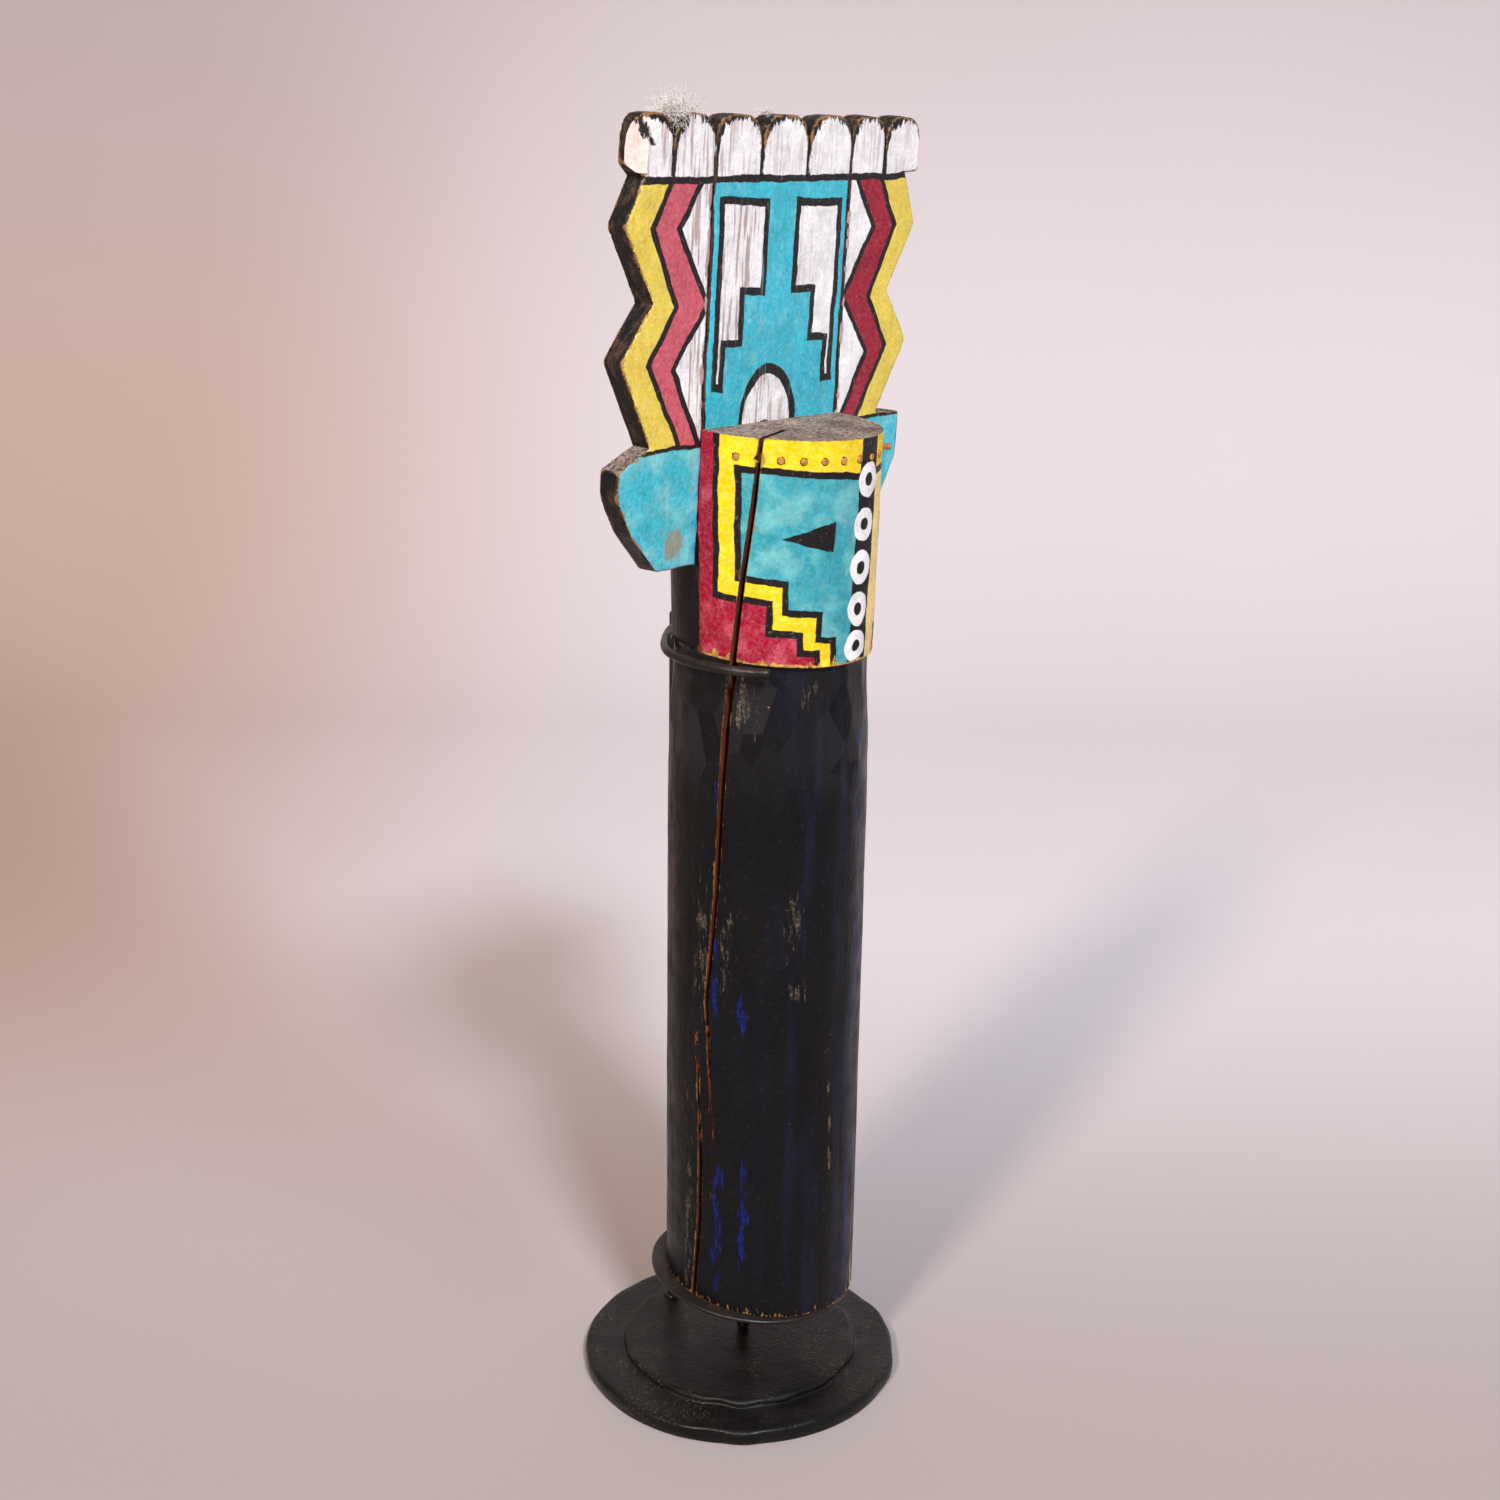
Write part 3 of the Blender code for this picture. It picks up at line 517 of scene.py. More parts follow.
def painted_post(web, placed):
    """Black post: navy and brown shades along it, painted sheen on the neck's facets, blue streaks, pale scuffs and
    a bare lower rim.
    """
    turn = placed["Turn"]
    radius = placed["Radius"]
    # Brown laid on more on the left side, navy more towards the front and right.
    brown_noise = web.noise(web.stretched(web.place(), (1, 1, 0.12)), 0.005, 5.0, 0.65)
    left = web.ramp(turn, -110.0, -60.0, 0.9, 0.3)
    colour = web.blend(web.math("MULTIPLY", web.ramp(brown_noise, 0.48, 0.72), left), BLACK, tone(19, 13, 9))
    tint = web.noise(web.stretched(web.place(), (1, 1, 0.1)), 0.007, 3.0, 0.6)
    navy = web.math("MULTIPLY", web.ramp(tint, 0.45, 0.65), web.ramp(turn, -60.0, -25.0, 0.1, 0.8))
    colour = web.blend(navy, colour, tone(22, 24, 44))
    # Painted sheen on the neck's knife facets: each facet cell gets a random lighter tone, stronger higher up.
    cell = web.add("TexVoronoi")
    web.feed(cell.inputs["Vector"], web.stretched(web.place(), (1, 1, 0.55)))
    cell.inputs["Scale"].default_value = 1 / 0.0105
    facet_chance = web.add("SeparateXYZ")
    web.feed(facet_chance.inputs[0], cell.outputs["Color"])
    facet_sheen_share = web.math("MULTIPLY", facet_chance.outputs[0], web.ramp(placed["Height"], 225.0, 250.0, 0.06, 0.5))
    colour = web.blend(facet_sheen_share, colour, tone(52, 50, 52))
    streak = web.math("ADD", streaked(web, placed, STREAKS, 9.0), 0.25)
    colour = web.blend(web.math("MULTIPLY", web.inside(streak, 0.7), 0.66), colour, BLUE)
    scuff = web.math("ADD", streaked(web, placed, SCUFFS, 30.0), 1.2)
    scratched = web.ramp(web.noise(web.place(), 0.0012, 4.0, 0.8), 0.46, 0.62, 0.1, 0.62)
    colour = web.blend(web.math("MULTIPLY", web.inside(scuff, 1.2), scratched), colour, tone(132, 120, 102))
    aged = web.group("Weathered paint", Colour=colour, Under=tone(190, 150, 108), Mottle=0.03, Chips=0.1)
    sideways = web.math("MULTIPLY", web.math("SINE", web.math("RADIANS", turn)), -FOOT_SLOPE_X)
    forward = web.math("MULTIPLY", web.math("COSINE", web.math("RADIANS", turn)), FOOT_SLOPE_Y)
    slant = web.math("MULTIPLY", web.math("ADD", sideways, forward), radius)
    lift = web.math("ADD", web.math("SUBTRACT", placed["Height"], LOG_FOOT), slant)
    dashes = web.noise(web.stretched(web.place(), (1, 1, 0.22)), 0.0013, 3.0, 0.7)
    bare = web.math("SUBTRACT", lift, web.ramp(dashes, 0.52, 0.74, -0.5, 3.6))
    colour = web.lay(aged["Colour"], tone(164, 114, 62), bare, 0.25)
    down = web.math("DIVIDE", web.math("SUBTRACT", 54.6, placed["Height"]), 20.0)
    centre = web.math("MULTIPLY_ADD", down, 4.6, 22.4)
    split_off = web.math("MULTIPLY", web.math("ABSOLUTE", web.math("SUBTRACT", turn, centre)), arc(1))
    width = web.math("MULTIPLY", down, web.ramp(dashes, 0.3, 0.7, 0.3, 1.9))
    colour = web.lay(colour, tone(206, 160, 100), web.math("SUBTRACT", split_off, width), 0.2)
    flecks = web.ramp(web.noise(web.stretched(web.place(), (1, 1, 0.3)), 0.003, 4.0, 0.8), 0.54, 0.6)
    for course, half_width in HAIR_CRACKS:
        levels = [level for level, turn_there in course]
        turns = [turn_there for level, turn_there in course]
        middle = web.line_of(placed["Height"], course, min(turns) - 2, max(turns) + 2)
        off = web.math("MULTIPLY", web.math("ABSOLUTE", web.math("SUBTRACT", turn, middle)), arc(1))
        beyond = web.math("MAXIMUM", web.math("SUBTRACT", float(levels[0]), placed["Height"]),
                          web.math("SUBTRACT", placed["Height"], float(levels[-1])))
        hair = web.math("MAXIMUM", web.math("SUBTRACT", off, half_width), web.math("MULTIPLY", beyond, 0.1))
        lip = web.math("MULTIPLY", web.inside(web.math("SUBTRACT", hair, 0.5), 0.2), flecks)
        colour = web.blend(lip, colour, CRACK_BROWN if half_width > 0.2 else tone(120, 102, 80))
        colour = web.lay(colour, tone(30, 14, 8), hair, 0.12)
    return colour, aged["Relief"]


def make_log_paint(paint):
    """Black post and painted mask, which share one round surface."""
    web, shader, material = new_material("round_paint")
    placed = web.group("Round place", Wobble=paint.wobble)
    turn = placed["Turn"]
    height = placed["Height"]
    front = web.math("COSINE", web.math("RADIANS", turn))
    rim = web.math("MULTIPLY_ADD", web.math("SUBTRACT", 1.0, front), LOG_RADIUS * MASK_BOTTOM_SLOPE,
                   MASK_BOTTOM)
    lift = web.math("SUBTRACT", height, rim)
    mask = painted_mask(web, paint, turn, height)
    side = web.math("SUBTRACT", web.math("ABSOLUTE", turn), 94.0)
    on_mask = web.math("MULTIPLY", web.inside(web.math("MULTIPLY", side, arc(1)), 0.3),
                       web.ramp(lift, -0.1, 0.35))
    aged = web.group("Weathered paint", Colour=mask, Under=tone(206, 176, 140), Mottle=0.26, Chips=0.2)
    post, relief = painted_post(web, placed)
    colour = web.blend(on_mask, post, aged["Colour"])
    tears = web.noise(web.stretched(web.place(), (1, 1, 0.5)), 0.0026, 4.0, 0.75)
    torn = web.math("SUBTRACT", lift, web.ramp(tears, 0.50, 0.74, 0.5, 4.4))
    rim_face = web.math("MULTIPLY", web.inside(torn, 0.2), web.ramp(lift, -0.6, -0.2))
    wood = web.group("Wood grain", Light=tone(224, 178, 92), Dark=tone(150, 100, 48), Length=0.3)["Colour"]
    colour = web.blend(web.math("MULTIPLY", rim_face, web.ramp(front, -0.15, 0.05)), colour, wood)
    worn = web.group("Edge wear", Reach=0.3)["Mask"]
    colour = web.blend(web.math("MULTIPLY", worn, 0.75), colour, tone(150, 112, 70))
    gloss = web.ramp(web.noise(web.place(), 0.009, 4.0, 0.6), 0.3, 0.75, 0.30, 0.5)
    rough = web.math("MULTIPLY_ADD", on_mask, 0.12, gloss)
    finish_surface(web, shader, colour, rough, relief, 0.00026)
    shader.inputs["Specular IOR Level"].default_value = 0.15
    return material


def make_board_paint(paint):
    """Tablet, wings, ears and lobes: one painted front, black edges and backs."""
    web, shader, material = new_material("front_paint")
    placed = web.group("Board place", Wobble=paint.wobble)
    across = placed["Across"]
    height = placed["Height"]
    off = web.math("ABSOLUTE", across)
    line = paint.line
    inner = web.line_of(height, ((351, 37.5), (374.6, 50.8), (394.1, 35.7), (417.2, 50.6), (434, 39.0)), 30.0,
                        60.0)
    outer = web.line_of(height, ((351, 47.0), (376.4, 62.3), (393.8, 50.3), (418, 62.8), (434, 52.6)), 40.0,
                        70.0)
    past_inner = web.math("SUBTRACT", inner, off)
    past_outer = web.math("SUBTRACT", outer, off)
    streaks = web.noise(web.stretched(web.place(), (1, 1, 0.03)), 0.0014, 3.0, 0.6)
    pink = web.ramp(streaks, 0.50, 0.60)
    faded = web.math("MULTIPLY", pink, web.ramp(across, -8.0, 22.0, 0.95, 0.12))
    white = web.blend(faded, WHITE, PRIMER)
    red = web.blend(web.ramp(across, -20.0, 20.0), paint.wing_red, paint.red)
    wing = web.lay(white, red, past_inner)
    ochre = web.ramp(web.noise(web.place(), 0.0036, 4.0, 0.7), 0.50, 0.68, 0.0, 0.55)
    wing = web.lay(wing, web.blend(ochre, paint.wing_yellow, tone(206, 158, 62)), past_outer)
    half = web.math("MULTIPLY", line, 0.62)
    wing = web.lay(wing, INK, web.math("SUBTRACT", web.math("ABSOLUTE", past_inner), half))
    wing = web.lay(wing, INK, web.math("SUBTRACT", web.math("ABSOLUTE", past_outer), half))
    steps = web.least([web.group("Painted box", Across=off, Height=height, Left=left, Right=right, Bottom=low,
                                 Top=426.1)["Distance"]
                       for left, right, low in ((7.3, 31.0, 396.8), (17.8, 31.0, 380.4), (26.2, 31.2, 366.4))])
    pale = web.ramp(web.noise(web.stretched(web.place(), (1, 1, 0.6)), 0.0044, 4.0, 0.62), 0.50, 0.72, 0.0, 0.65)
    ground = web.blend(pale, paint.turquoise, tone(134, 212, 220))
    tablet = web.lay(ground, INK, web.math("SUBTRACT", steps, 0.55))
    tablet = web.lay(tablet, white, web.math("ADD", steps, 2.0))
    arch = web.group("Painted arch", Across=across, Height=height, Centre=-2.3, Half_width=15.2, Spring=354.0,
                     Rise=20.0)["Distance"]
    door = web.group("Painted arch", Across=across, Height=height, Centre=-3.0, Half_width=12.7, Spring=354.0,
                     Rise=16.4)["Distance"]
    tablet = web.lay(tablet, INK, arch)
    tablet = web.lay(tablet, white, door)
    sill = web.group("Painted arch", Across=across, Height=height, Centre=-3.4, Half_width=6.2, Spring=346.0,
                     Rise=8.6)["Distance"]
    tablet = web.lay(tablet, INK, web.math("SUBTRACT", web.math("ABSOLUTE", sill), 0.6), 0.3)
    wash = web.math("MULTIPLY", web.ramp(streaks, 0.55, 0.72), web.ramp(web.math("ABSOLUTE", web.math(
        "ADD", across, 9.0)), 3.0, 11.0, 0.55, 0.12))
    tablet = web.blend(wash, tablet, tone(150, 196, 196))
    colour = web.lay(wing, tablet, web.math("SUBTRACT", off, TABLET_HALF + 0.2), 0.05)
    seam = web.math("ABSOLUTE", web.math("SUBTRACT", off, TABLET_HALF + 0.2))
    colour = web.lay(colour, INK, web.math("SUBTRACT", seam, 1.1))
    gap = web.math("ABSOLUTE", web.math("SUBTRACT", off, TABLET_HALF + 1.4))
    bare_gap = web.math("MULTIPLY_ADD", web.math("SUBTRACT", 0.56, web.noise(web.place(), 0.006, 3.0)), 6.0, gap)
    colour = web.lay(colour, PRIMER, web.math("SUBTRACT", bare_gap, 0.55), 0.2)
    ear_reach = web.line_of(height, ((309, 54.0), (316, 61.0), (324, 67.5), (332, 72.4), (338, 73.6), (354, 73.6)),
                            50.0, 80.0)
    clouds = web.ramp(web.noise(web.place(), 0.013, 3.0, 0.55), 0.42, 0.66)
    washed = web.blend(clouds, paint.turquoise, tone(124, 208, 214))
    ear = web.lay(washed, INK, web.math("SUBTRACT", ear_reach, off), 0.3)
    ear_top = web.math("MULTIPLY_ADD", across, 0.018, 349.7)
    ear = web.lay(ear, INK, web.math("SUBTRACT", ear_top, height), 0.3)
    side = web.math("SUBTRACT", TABLET_HALF + 0.3, off)
    on_ear = web.math("MAXIMUM", side, web.math("SUBTRACT", height, web.math("ADD", ear_top, 1.4)))
    colour = web.lay(colour, ear, on_ear, 0.1)
    spot_across = web.math("DIVIDE", web.math("ADD", across, 46.5), 5.2)
    spot_up = web.math("DIVIDE", web.math("SUBTRACT", height, 318.5), 5.6)
    spot = web.math("SQRT", web.math("ADD", web.math("MULTIPLY", spot_across, spot_across),
                                     web.math("MULTIPLY", spot_up, spot_up)))
    ragged = web.math("MULTIPLY_ADD", web.noise(web.place(), 0.003, 4.0, 0.7), 1.4, spot)
    colour = web.lay(colour, tone(150, 158, 146), web.math("SUBTRACT", ragged, 1.55), 0.2)
    base_line = web.math("MULTIPLY_ADD", across, CORNICE_SLOPE, CORNICE_BOTTOM)
    above = web.math("SUBTRACT", height, base_line)
    colour = web.lay(colour, INK, web.math("SUBTRACT", web.math("MULTIPLY", above, -1.0), 2.2))
    level = web.math("MULTIPLY_ADD", across, -CORNICE_SLOPE, height)
    lobes = []
    for left, right in zip(LOBE_EDGES, LOBE_EDGES[1:]):
        start = -80.0 if left < -70 else left + 1.5
        lobes.append(web.group("Painted arch", Across=across, Height=level, Centre=(start + right) / 2,
                               Half_width=(right - start) / 2, Spring=LOBE_SPRING - 0.4,
                               Rise=LOBE_TOP - LOBE_SPRING - 1.2, Squareness=2.2)["Distance"])
    brush = web.noise(web.stretched(web.place(), (1, 1, 0.25)), 0.0017, 4.0, 0.75)
    ragged_top = web.math("MULTIPLY_ADD", web.math("SUBTRACT", brush, 0.5), web.ramp(above, 9.0, 17.0, 0.8, 11.0),
                          web.least(lobes))
    lobe_white = web.blend(web.math("MULTIPLY", pink, web.ramp(across, -40.0, -5.0, 0.85, 0.4)), WHITE, PRIMER)
    # The left end of the cornice is pinker: primer there, with the warm light on that end also painted in.
    lobe_white = web.blend(web.ramp(across, -67.0, -65.0, 0.7, 0.0), lobe_white, tone(226, 196, 182))
    lobe_colour = web.lay(INK, lobe_white, ragged_top, 0.25)
    blot = web.math("MULTIPLY_ADD", web.math("SUBTRACT", height, 445.5), 0.55, web.math("ADD", across, 66.5))
    blot = web.math("SUBTRACT", web.math("ABSOLUTE", blot), web.ramp(brush, 0.35, 0.65, 0.2, 1.9))
    blot = web.math("MAXIMUM", blot, web.math("SUBTRACT", 441.5, height))
    lobe_colour = web.lay(lobe_colour, INK, blot, 0.3)
    corner = web.math("MULTIPLY_ADD", web.math("SUBTRACT", 452.0, height), 0.75, web.math("ADD", across, 67.0))
    lobe_colour = web.lay(lobe_colour, INK, corner, 0.4)
    colour = web.lay(colour, lobe_colour, web.math("MULTIPLY", above, -1.0), 0.15)
    facing = placed["Facing"]
    at_back = web.ramp(facing, -0.7, -0.4, 0.25, 1.0)
    edge_paint = web.blend(web.math("MULTIPLY", at_back, web.ramp(web.noise(web.stretched(web.place(), (1, 1, 0.3)), 0.004, 5.0, 0.7), 0.46,
                                    0.74)), BLACK, tone(92, 70, 52))
    end = web.math("MULTIPLY", web.ramp(across, -66.0, -64.5, 1.0, 0.0), web.ramp(above, 0.0, 0.4))
    shown = web.math("MAXIMUM", web.ramp(facing, 0.55, 0.75), web.math(
        "MULTIPLY", end, web.ramp(facing, 0.2, 0.5)))
    colour = web.blend(shown, edge_paint, colour)
    aged = web.group("Weathered paint", Colour=colour, Under=BARE_WOOD, Chips=0.3,
                     Mottle=web.ramp(facing, 0.4, 0.7, 0.03, 0.26))
    off_seam = web.ramp(seam, 1.2, 2.4, 0.2, 0.8)
    worn = web.math("MULTIPLY", web.group("Edge wear", Reach=0.9)["Mask"], off_seam)
    result = web.blend(worn, aged["Colour"], tone(158, 116, 72))
    rough = web.ramp(web.noise(web.place(), 0.008, 4.0, 0.6), 0.3, 0.75, 0.42, 0.62)
    finish_surface(web, shader, result, rough, aged["Relief"], 0.0003)
    shader.inputs["Specular IOR Level"].default_value = 0.35
    return material


def make_sawn_wood():
    """Weathered end grain with saw marks, on the mask's top and the ears' tops."""
    web, shader, material = new_material("sawn_wood")
    place = web.place()
    marks = web.noise(web.stretched(place, (0.35, 1, 1)), 0.0010, 5.0, 0.8)
    broad = web.noise(place, 0.014, 4.0, 0.6)
    mixed = web.math("MULTIPLY_ADD", broad, 0.5, web.math("MULTIPLY", marks, 0.6))
    colour = web.blend(web.ramp(mixed, 0.38, 0.72), tone(96, 80, 68), tone(196, 174, 156))
    pores = web.ramp(web.noise(place, 0.0013, 4.0, 0.7), 0.38, 0.50)
    colour = web.blend(pores, tone(70, 57, 48), colour)
    finish_surface(web, shader, colour, 0.85, web.math("ADD", marks, web.math("MULTIPLY", pores, 0.5)), 0.0009)
    return material


def make_crack_wood():
    """Inside of the drying crack: warm brown wood, with painted shade making it dark deep inside."""
    web, shader, material = new_material("crack_wood")
    placed = web.group("Round place", Wobble=0.0)
    grain = web.group("Wood grain", Light=CRACK_BROWN, Dark=CRACK_DARK, Length=0.06)
    # Painted shade: darker the deeper into the crack.
    deep = web.ramp(placed["Radius"], 20.0, 31.0)
    colour = web.blend(deep, CRACK_DARK, grain["Colour"])
    finish_surface(web, shader, colour, 0.8, grain["Relief"], 0.0008)
    return material


def make_peg_wood():
    """Small turned pegs, brown and rubbed, some with yellow paint over them."""
    web, shader, material = new_material("brown_peg")
    grain = web.group("Wood grain", Light=tone(208, 152, 74), Dark=tone(138, 84, 38), Length=0.5)
    smear = web.ramp(web.noise(web.place(), 0.0035, 3.0, 0.6), 0.58, 0.66)
    colour = web.blend(smear, grain["Colour"], tone(226, 178, 44))
    finish_surface(web, shader, colour, 0.6, grain["Relief"], 0.0002)
    return material


def make_stand_black():
    """Satin black stand with dust, brush marks and paler teal rims: rubbed, with a painted highlight on them."""
    web, shader, material = new_material("satin_black")
    place = web.place()
    brushed = web.noise(web.stretched(place, (1, 1, 3)), 0.02, 4.0, 0.6)
    colour = web.blend(web.ramp(brushed, 0.4, 0.7), tone(6, 6, 7), tone(14, 14, 15))
    # Rubbed rims, tinted teal as a painted highlight along them.
    worn = web.group("Edge wear", Reach=0.1)["Mask"]
    colour = web.blend(web.math("MULTIPLY", worn, 0.35), colour, tone(82, 98, 94))
    grit = web.ramp(web.noise(place, 0.0011, 2.0, 0.8), 0.56, 0.64)
    patch = web.ramp(web.noise(place, 0.022, 3.0, 0.6), 0.46, 0.62)
    colour = web.blend(web.math("MULTIPLY", web.math("MULTIPLY", grit, patch), 0.4), colour, tone(100, 90, 72))
    dusty = web.group("Dust", Colour=colour, Amount=0.07)
    rough = web.math("MULTIPLY_ADD", dusty["Mask"], 0.4, web.ramp(brushed, 0.35, 0.7, 0.3, 0.46))
    lumps = web.noise(place, 0.0016, 3.0, 0.6)
    finish_surface(web, shader, dusty["Colour"], rough, web.math("MULTIPLY_ADD", brushed, 2.0, lumps), 0.0002)
    shader.inputs["Specular IOR Level"].default_value = 0.25
    return material


def make_wire_black():
    """Blackened steel wire: darker, smoother, with a few rubbed bright places."""
    web, shader, material = new_material("blackened_wire")
    place = web.place()
    patch = web.noise(place, 0.007, 4.0, 0.65)
    colour = web.blend(web.ramp(patch, 0.5, 0.75), tone(30, 26, 24), tone(66, 54, 47))
    worn = web.group("Edge wear", Reach=0.2)["Mask"]
    colour = web.blend(web.math("MULTIPLY", worn, 0.5), colour, tone(130, 120, 108))
    colour = web.group("Dust", Colour=colour, Amount=0.2)["Colour"]
    finish_surface(web, shader, colour, web.ramp(patch, 0.3, 0.75, 0.28, 0.5), patch, 0.00025)
    shader.inputs["Metallic"].default_value = 0.35
    return material


def make_down_material():
    """Soft off-white down."""
    web, shader, material = new_material("pale_down")
    tint = web.noise(web.place(), 0.004, 3.0)
    colour = web.blend(web.ramp(tint, 0.35, 0.7), tone(238, 231, 220), tone(255, 252, 246))
    web.feed(shader.inputs["Base Color"], colour)
    shader.inputs["Roughness"].default_value = 0.9
    shader.inputs["Sheen Weight"].default_value = 0.4
    return material


def new_piece(name, mesh, *materials):
    piece = bpy.data.objects.new(name, mesh)
    bpy.context.scene.collection.objects.link(piece)
    mesh.materials.clear()
    for material in materials:
        mesh.materials.append(material)
    return piece


def soften(mesh, angle):
    """Smooth shading that keeps creases sharper than the angle."""
    mesh.polygons.foreach_set("use_smooth", [True] * len(mesh.polygons))
    mesh.set_sharp_from_angle(angle=angle)


def reworked(node, kind, **settings):
    """A copy of a CAD node's mesh, its corners welded, with one more modifier's result baked in."""
    source = bpy.data.objects.new(node + "_source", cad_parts[node].data.copy())
    bpy.context.scene.collection.objects.link(source)
    source.modifiers.new("Weld", "WELD").merge_threshold = 0.000001
    work = source.modifiers.new("Rework", kind)
    for name, value in settings.items():
        setattr(work, name, value)
    graph = bpy.context.evaluated_depsgraph_get()
    mesh = bpy.data.meshes.new_from_object(source.evaluated_get(graph))
    bpy.data.objects.remove(source)
    mesh.name = node + "_reworked"
    return mesh


def refined(node, cell):
    """A finer mesh of a CAD node's own shape, with its creases kept."""
    low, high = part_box(node)
    longest = max(high[axis] - low[axis] for axis in range(3))
    depth = 9 if longest > 0.25 else 8
    return reworked(node, "REMESH", mode="SHARP", octree_depth=depth, use_remove_disconnected=False,
                    scale=min(0.99, longest / (cell * 2 ** depth)))


def ripple(place, size, seed=0.0):
    """Smooth noise between about -1 and 1 with lumps of the given size in metres."""
    return noise.noise(place / size + Vector((seed, seed * 0.7, seed * 1.3)))


# Where the three parts of a drift are read, well apart from each other in the noise
DRIFT_SPOTS = (Vector((0.37, 0.61, 0.83)), Vector((31.71, 11.37, 5.93)), Vector((7.13, 43.91, 19.37)))


def drift(place):
    """Three smooth values between about -1 and 1, the same in every run."""
    return Vector([noise.noise(place + spot) for spot in DRIFT_SPOTS])


NECK_LOW = 222.0
NECK_ROWS = 5
NECK_CUTS = 17


def knife_cuts():
    """Planes of the knife cuts below the mask: turn in degrees, height, outward normal and distance, in mm."""
    cuts = []
    for row in range(NECK_ROWS):
        level = MASK_BOTTOM - 4 - row * (MASK_BOTTOM - NECK_LOW) / NECK_ROWS
        radius = LOG_RADIUS - 1.2 * min(1.0, max(0.0, (level - MASK_BOTTOM + 30) / 30))
        for step in range(NECK_CUTS):
            draw = drift(Vector((row * 3.7, step * 2.3, 1.5)))
            turn = 360 * (step + 0.5 * (row % 2) + 0.7 * draw.x) / NECK_CUTS - 180
            tilt = 0.035 + 0.05 * draw.y
            height = level + 5 * draw.z
            way = Vector((sin(radians(turn)), -cos(radians(turn)), tilt)).normalized()
            depth = (0.9 + 0.7 * draw.z) * (1 - row / (NECK_ROWS + 1))
            cuts.append((turn, height, way, way.dot(Vector((way.x, way.y, 0)).normalized() * (radius - depth))))
    return cuts


def knife_depth(place, turn, cuts):
    """How much of the neck the deepest knife cut takes off at a place, in millimetres."""
    spot = Vector((place.x / MM - LOG_X, place.y / MM - LOG_Y, 0))
    deepest = 0.0
    for cut_turn, height, way, distance in cuts:
        gap = (turn - cut_turn + 180) % 360 - 180
        rise = place.z / MM - height
        if abs(gap) < 22 and abs(rise) < 15:
            deepest = max(deepest, (spot.dot(way) + way.z * rise - distance) * (1 - (rise / 15) ** 2))
    return min(deepest, 1.1)


KNIFE_CUTS = knife_cuts()


def carve_round(place, normal, carving):
    """How far a point of the log's round side moves along its normal."""
    turn = degrees(atan2(place.x - LOG_X * MM, LOG_Y * MM - place.y))
    height = place.z / MM
    outward = hypot(normal.x, normal.y)
    move = 0.16 * MM * ripple(place, 0.022) + 0.05 * MM * ripple(place, 0.005, 3)
    if outward < 0.8:
        return move * 0.5
    if height < MASK_BOTTOM + 4:
        shifted = turn + 9 * ripple(Vector((0, 0, place.z)), 0.05, 5)
        share = (shifted % 24.0) / 24.0 - 0.5
        move -= carving.facet * 0.5 * (4 * share * share)
        rim = MASK_BOTTOM + MASK_BOTTOM_SLOPE * LOG_RADIUS * (1 - cos(radians(turn)))
        if NECK_LOW - 10 < height < rim - 0.2:
            fade = min(1.0, (rim - height) / 2, (height - NECK_LOW + 10) / 12)
            move -= MM * fade * knife_depth(place, turn, KNIFE_CUTS)
    edge = height - (LOG_LOW[2] / MM + 2)
    if edge < 3:
        move -= 0.5 * MM * max(0.0, ripple(place, 0.0035, 9)) * (3 - edge) / 3
    rim = abs(height - MASK_BOTTOM - 1.5)
    if rim < 2.5:
        move -= 0.45 * MM * max(0.0, ripple(place, 0.004, 11) - 0.1) * (2.5 - rim)
    return move


def carve_board(place, normal, carving):
    """How far a point of the boards moves: grain on the faces, knife marks round the edges."""
    grain = noise.noise(Vector((place.x / 0.0016, place.y / 0.004, place.z / 0.05)))
    if abs(normal.y) > 0.75:
        return carving.grain * grain + 0.1 * MM * ripple(place, 0.025, 2)
    return 0.28 * MM * ripple(place, 0.007, 4) + 0.08 * MM * ripple(place, 0.0022, 6)


def displace(mesh, rule):
    """Moves each vertex along its own normal by what the rule says for its place and normal."""
    moves = [(vertex.co.copy(), vertex.normal.copy()) for vertex in mesh.vertices]
    for vertex, (place, normal) in zip(mesh.vertices, moves):
        vertex.co = place + normal * rule(place, normal)
    mesh.update()


def board_depth(place):
    """Distance in millimetres in front of the boards' front plane."""
    turn, shift = board_mapping()
    return (turn.to_matrix() @ place + shift).z / MM


def log_slot(centre, normal):
    """Which material a face of the carved log takes: 0 round paint, 1 tablet paint, 2 sawn top, 3 crack."""
    height = centre.z / MM
    depth = board_depth(centre)
    reach = hypot(centre.x / MM - LOG_X, centre.y / MM - LOG_Y)
    if depth > 0.25 and height > MASK_TOP - 3 and normal.z > 0.6:
        return 2
    if height > MASK_TOP - 1 and depth < 0.4 and (height > MASK_TOP + 5 or normal.y < -0.5):
        return 1
    outward = Vector((centre.x / MM - LOG_X, centre.y / MM - LOG_Y, 0)) / max(reach, 0.001)
    on_wall = abs(normal.dot(outward)) < 0.55 and abs(normal.z) < 0.6
    in_front = height < MASK_BOTTOM or depth > -1
    if reach < LOG_RADIUS - 5 and abs(normal.z) < 0.6 and in_front and height < MASK_TOP + 4:
        return 3
    near_crack = -104 < degrees(atan2(outward.x, -outward.y)) < -42
    if reach < LOG_RADIUS - 2.6 or (near_crack and reach < LOG_RADIUS + 0.4):
        return 3 if on_wall and in_front and height < MASK_TOP + 4 else 0
    return 0


def assign_slots(mesh, choose):
    mesh.polygons.foreach_set("material_index", [choose(p.center, p.normal) for p in mesh.polygons])


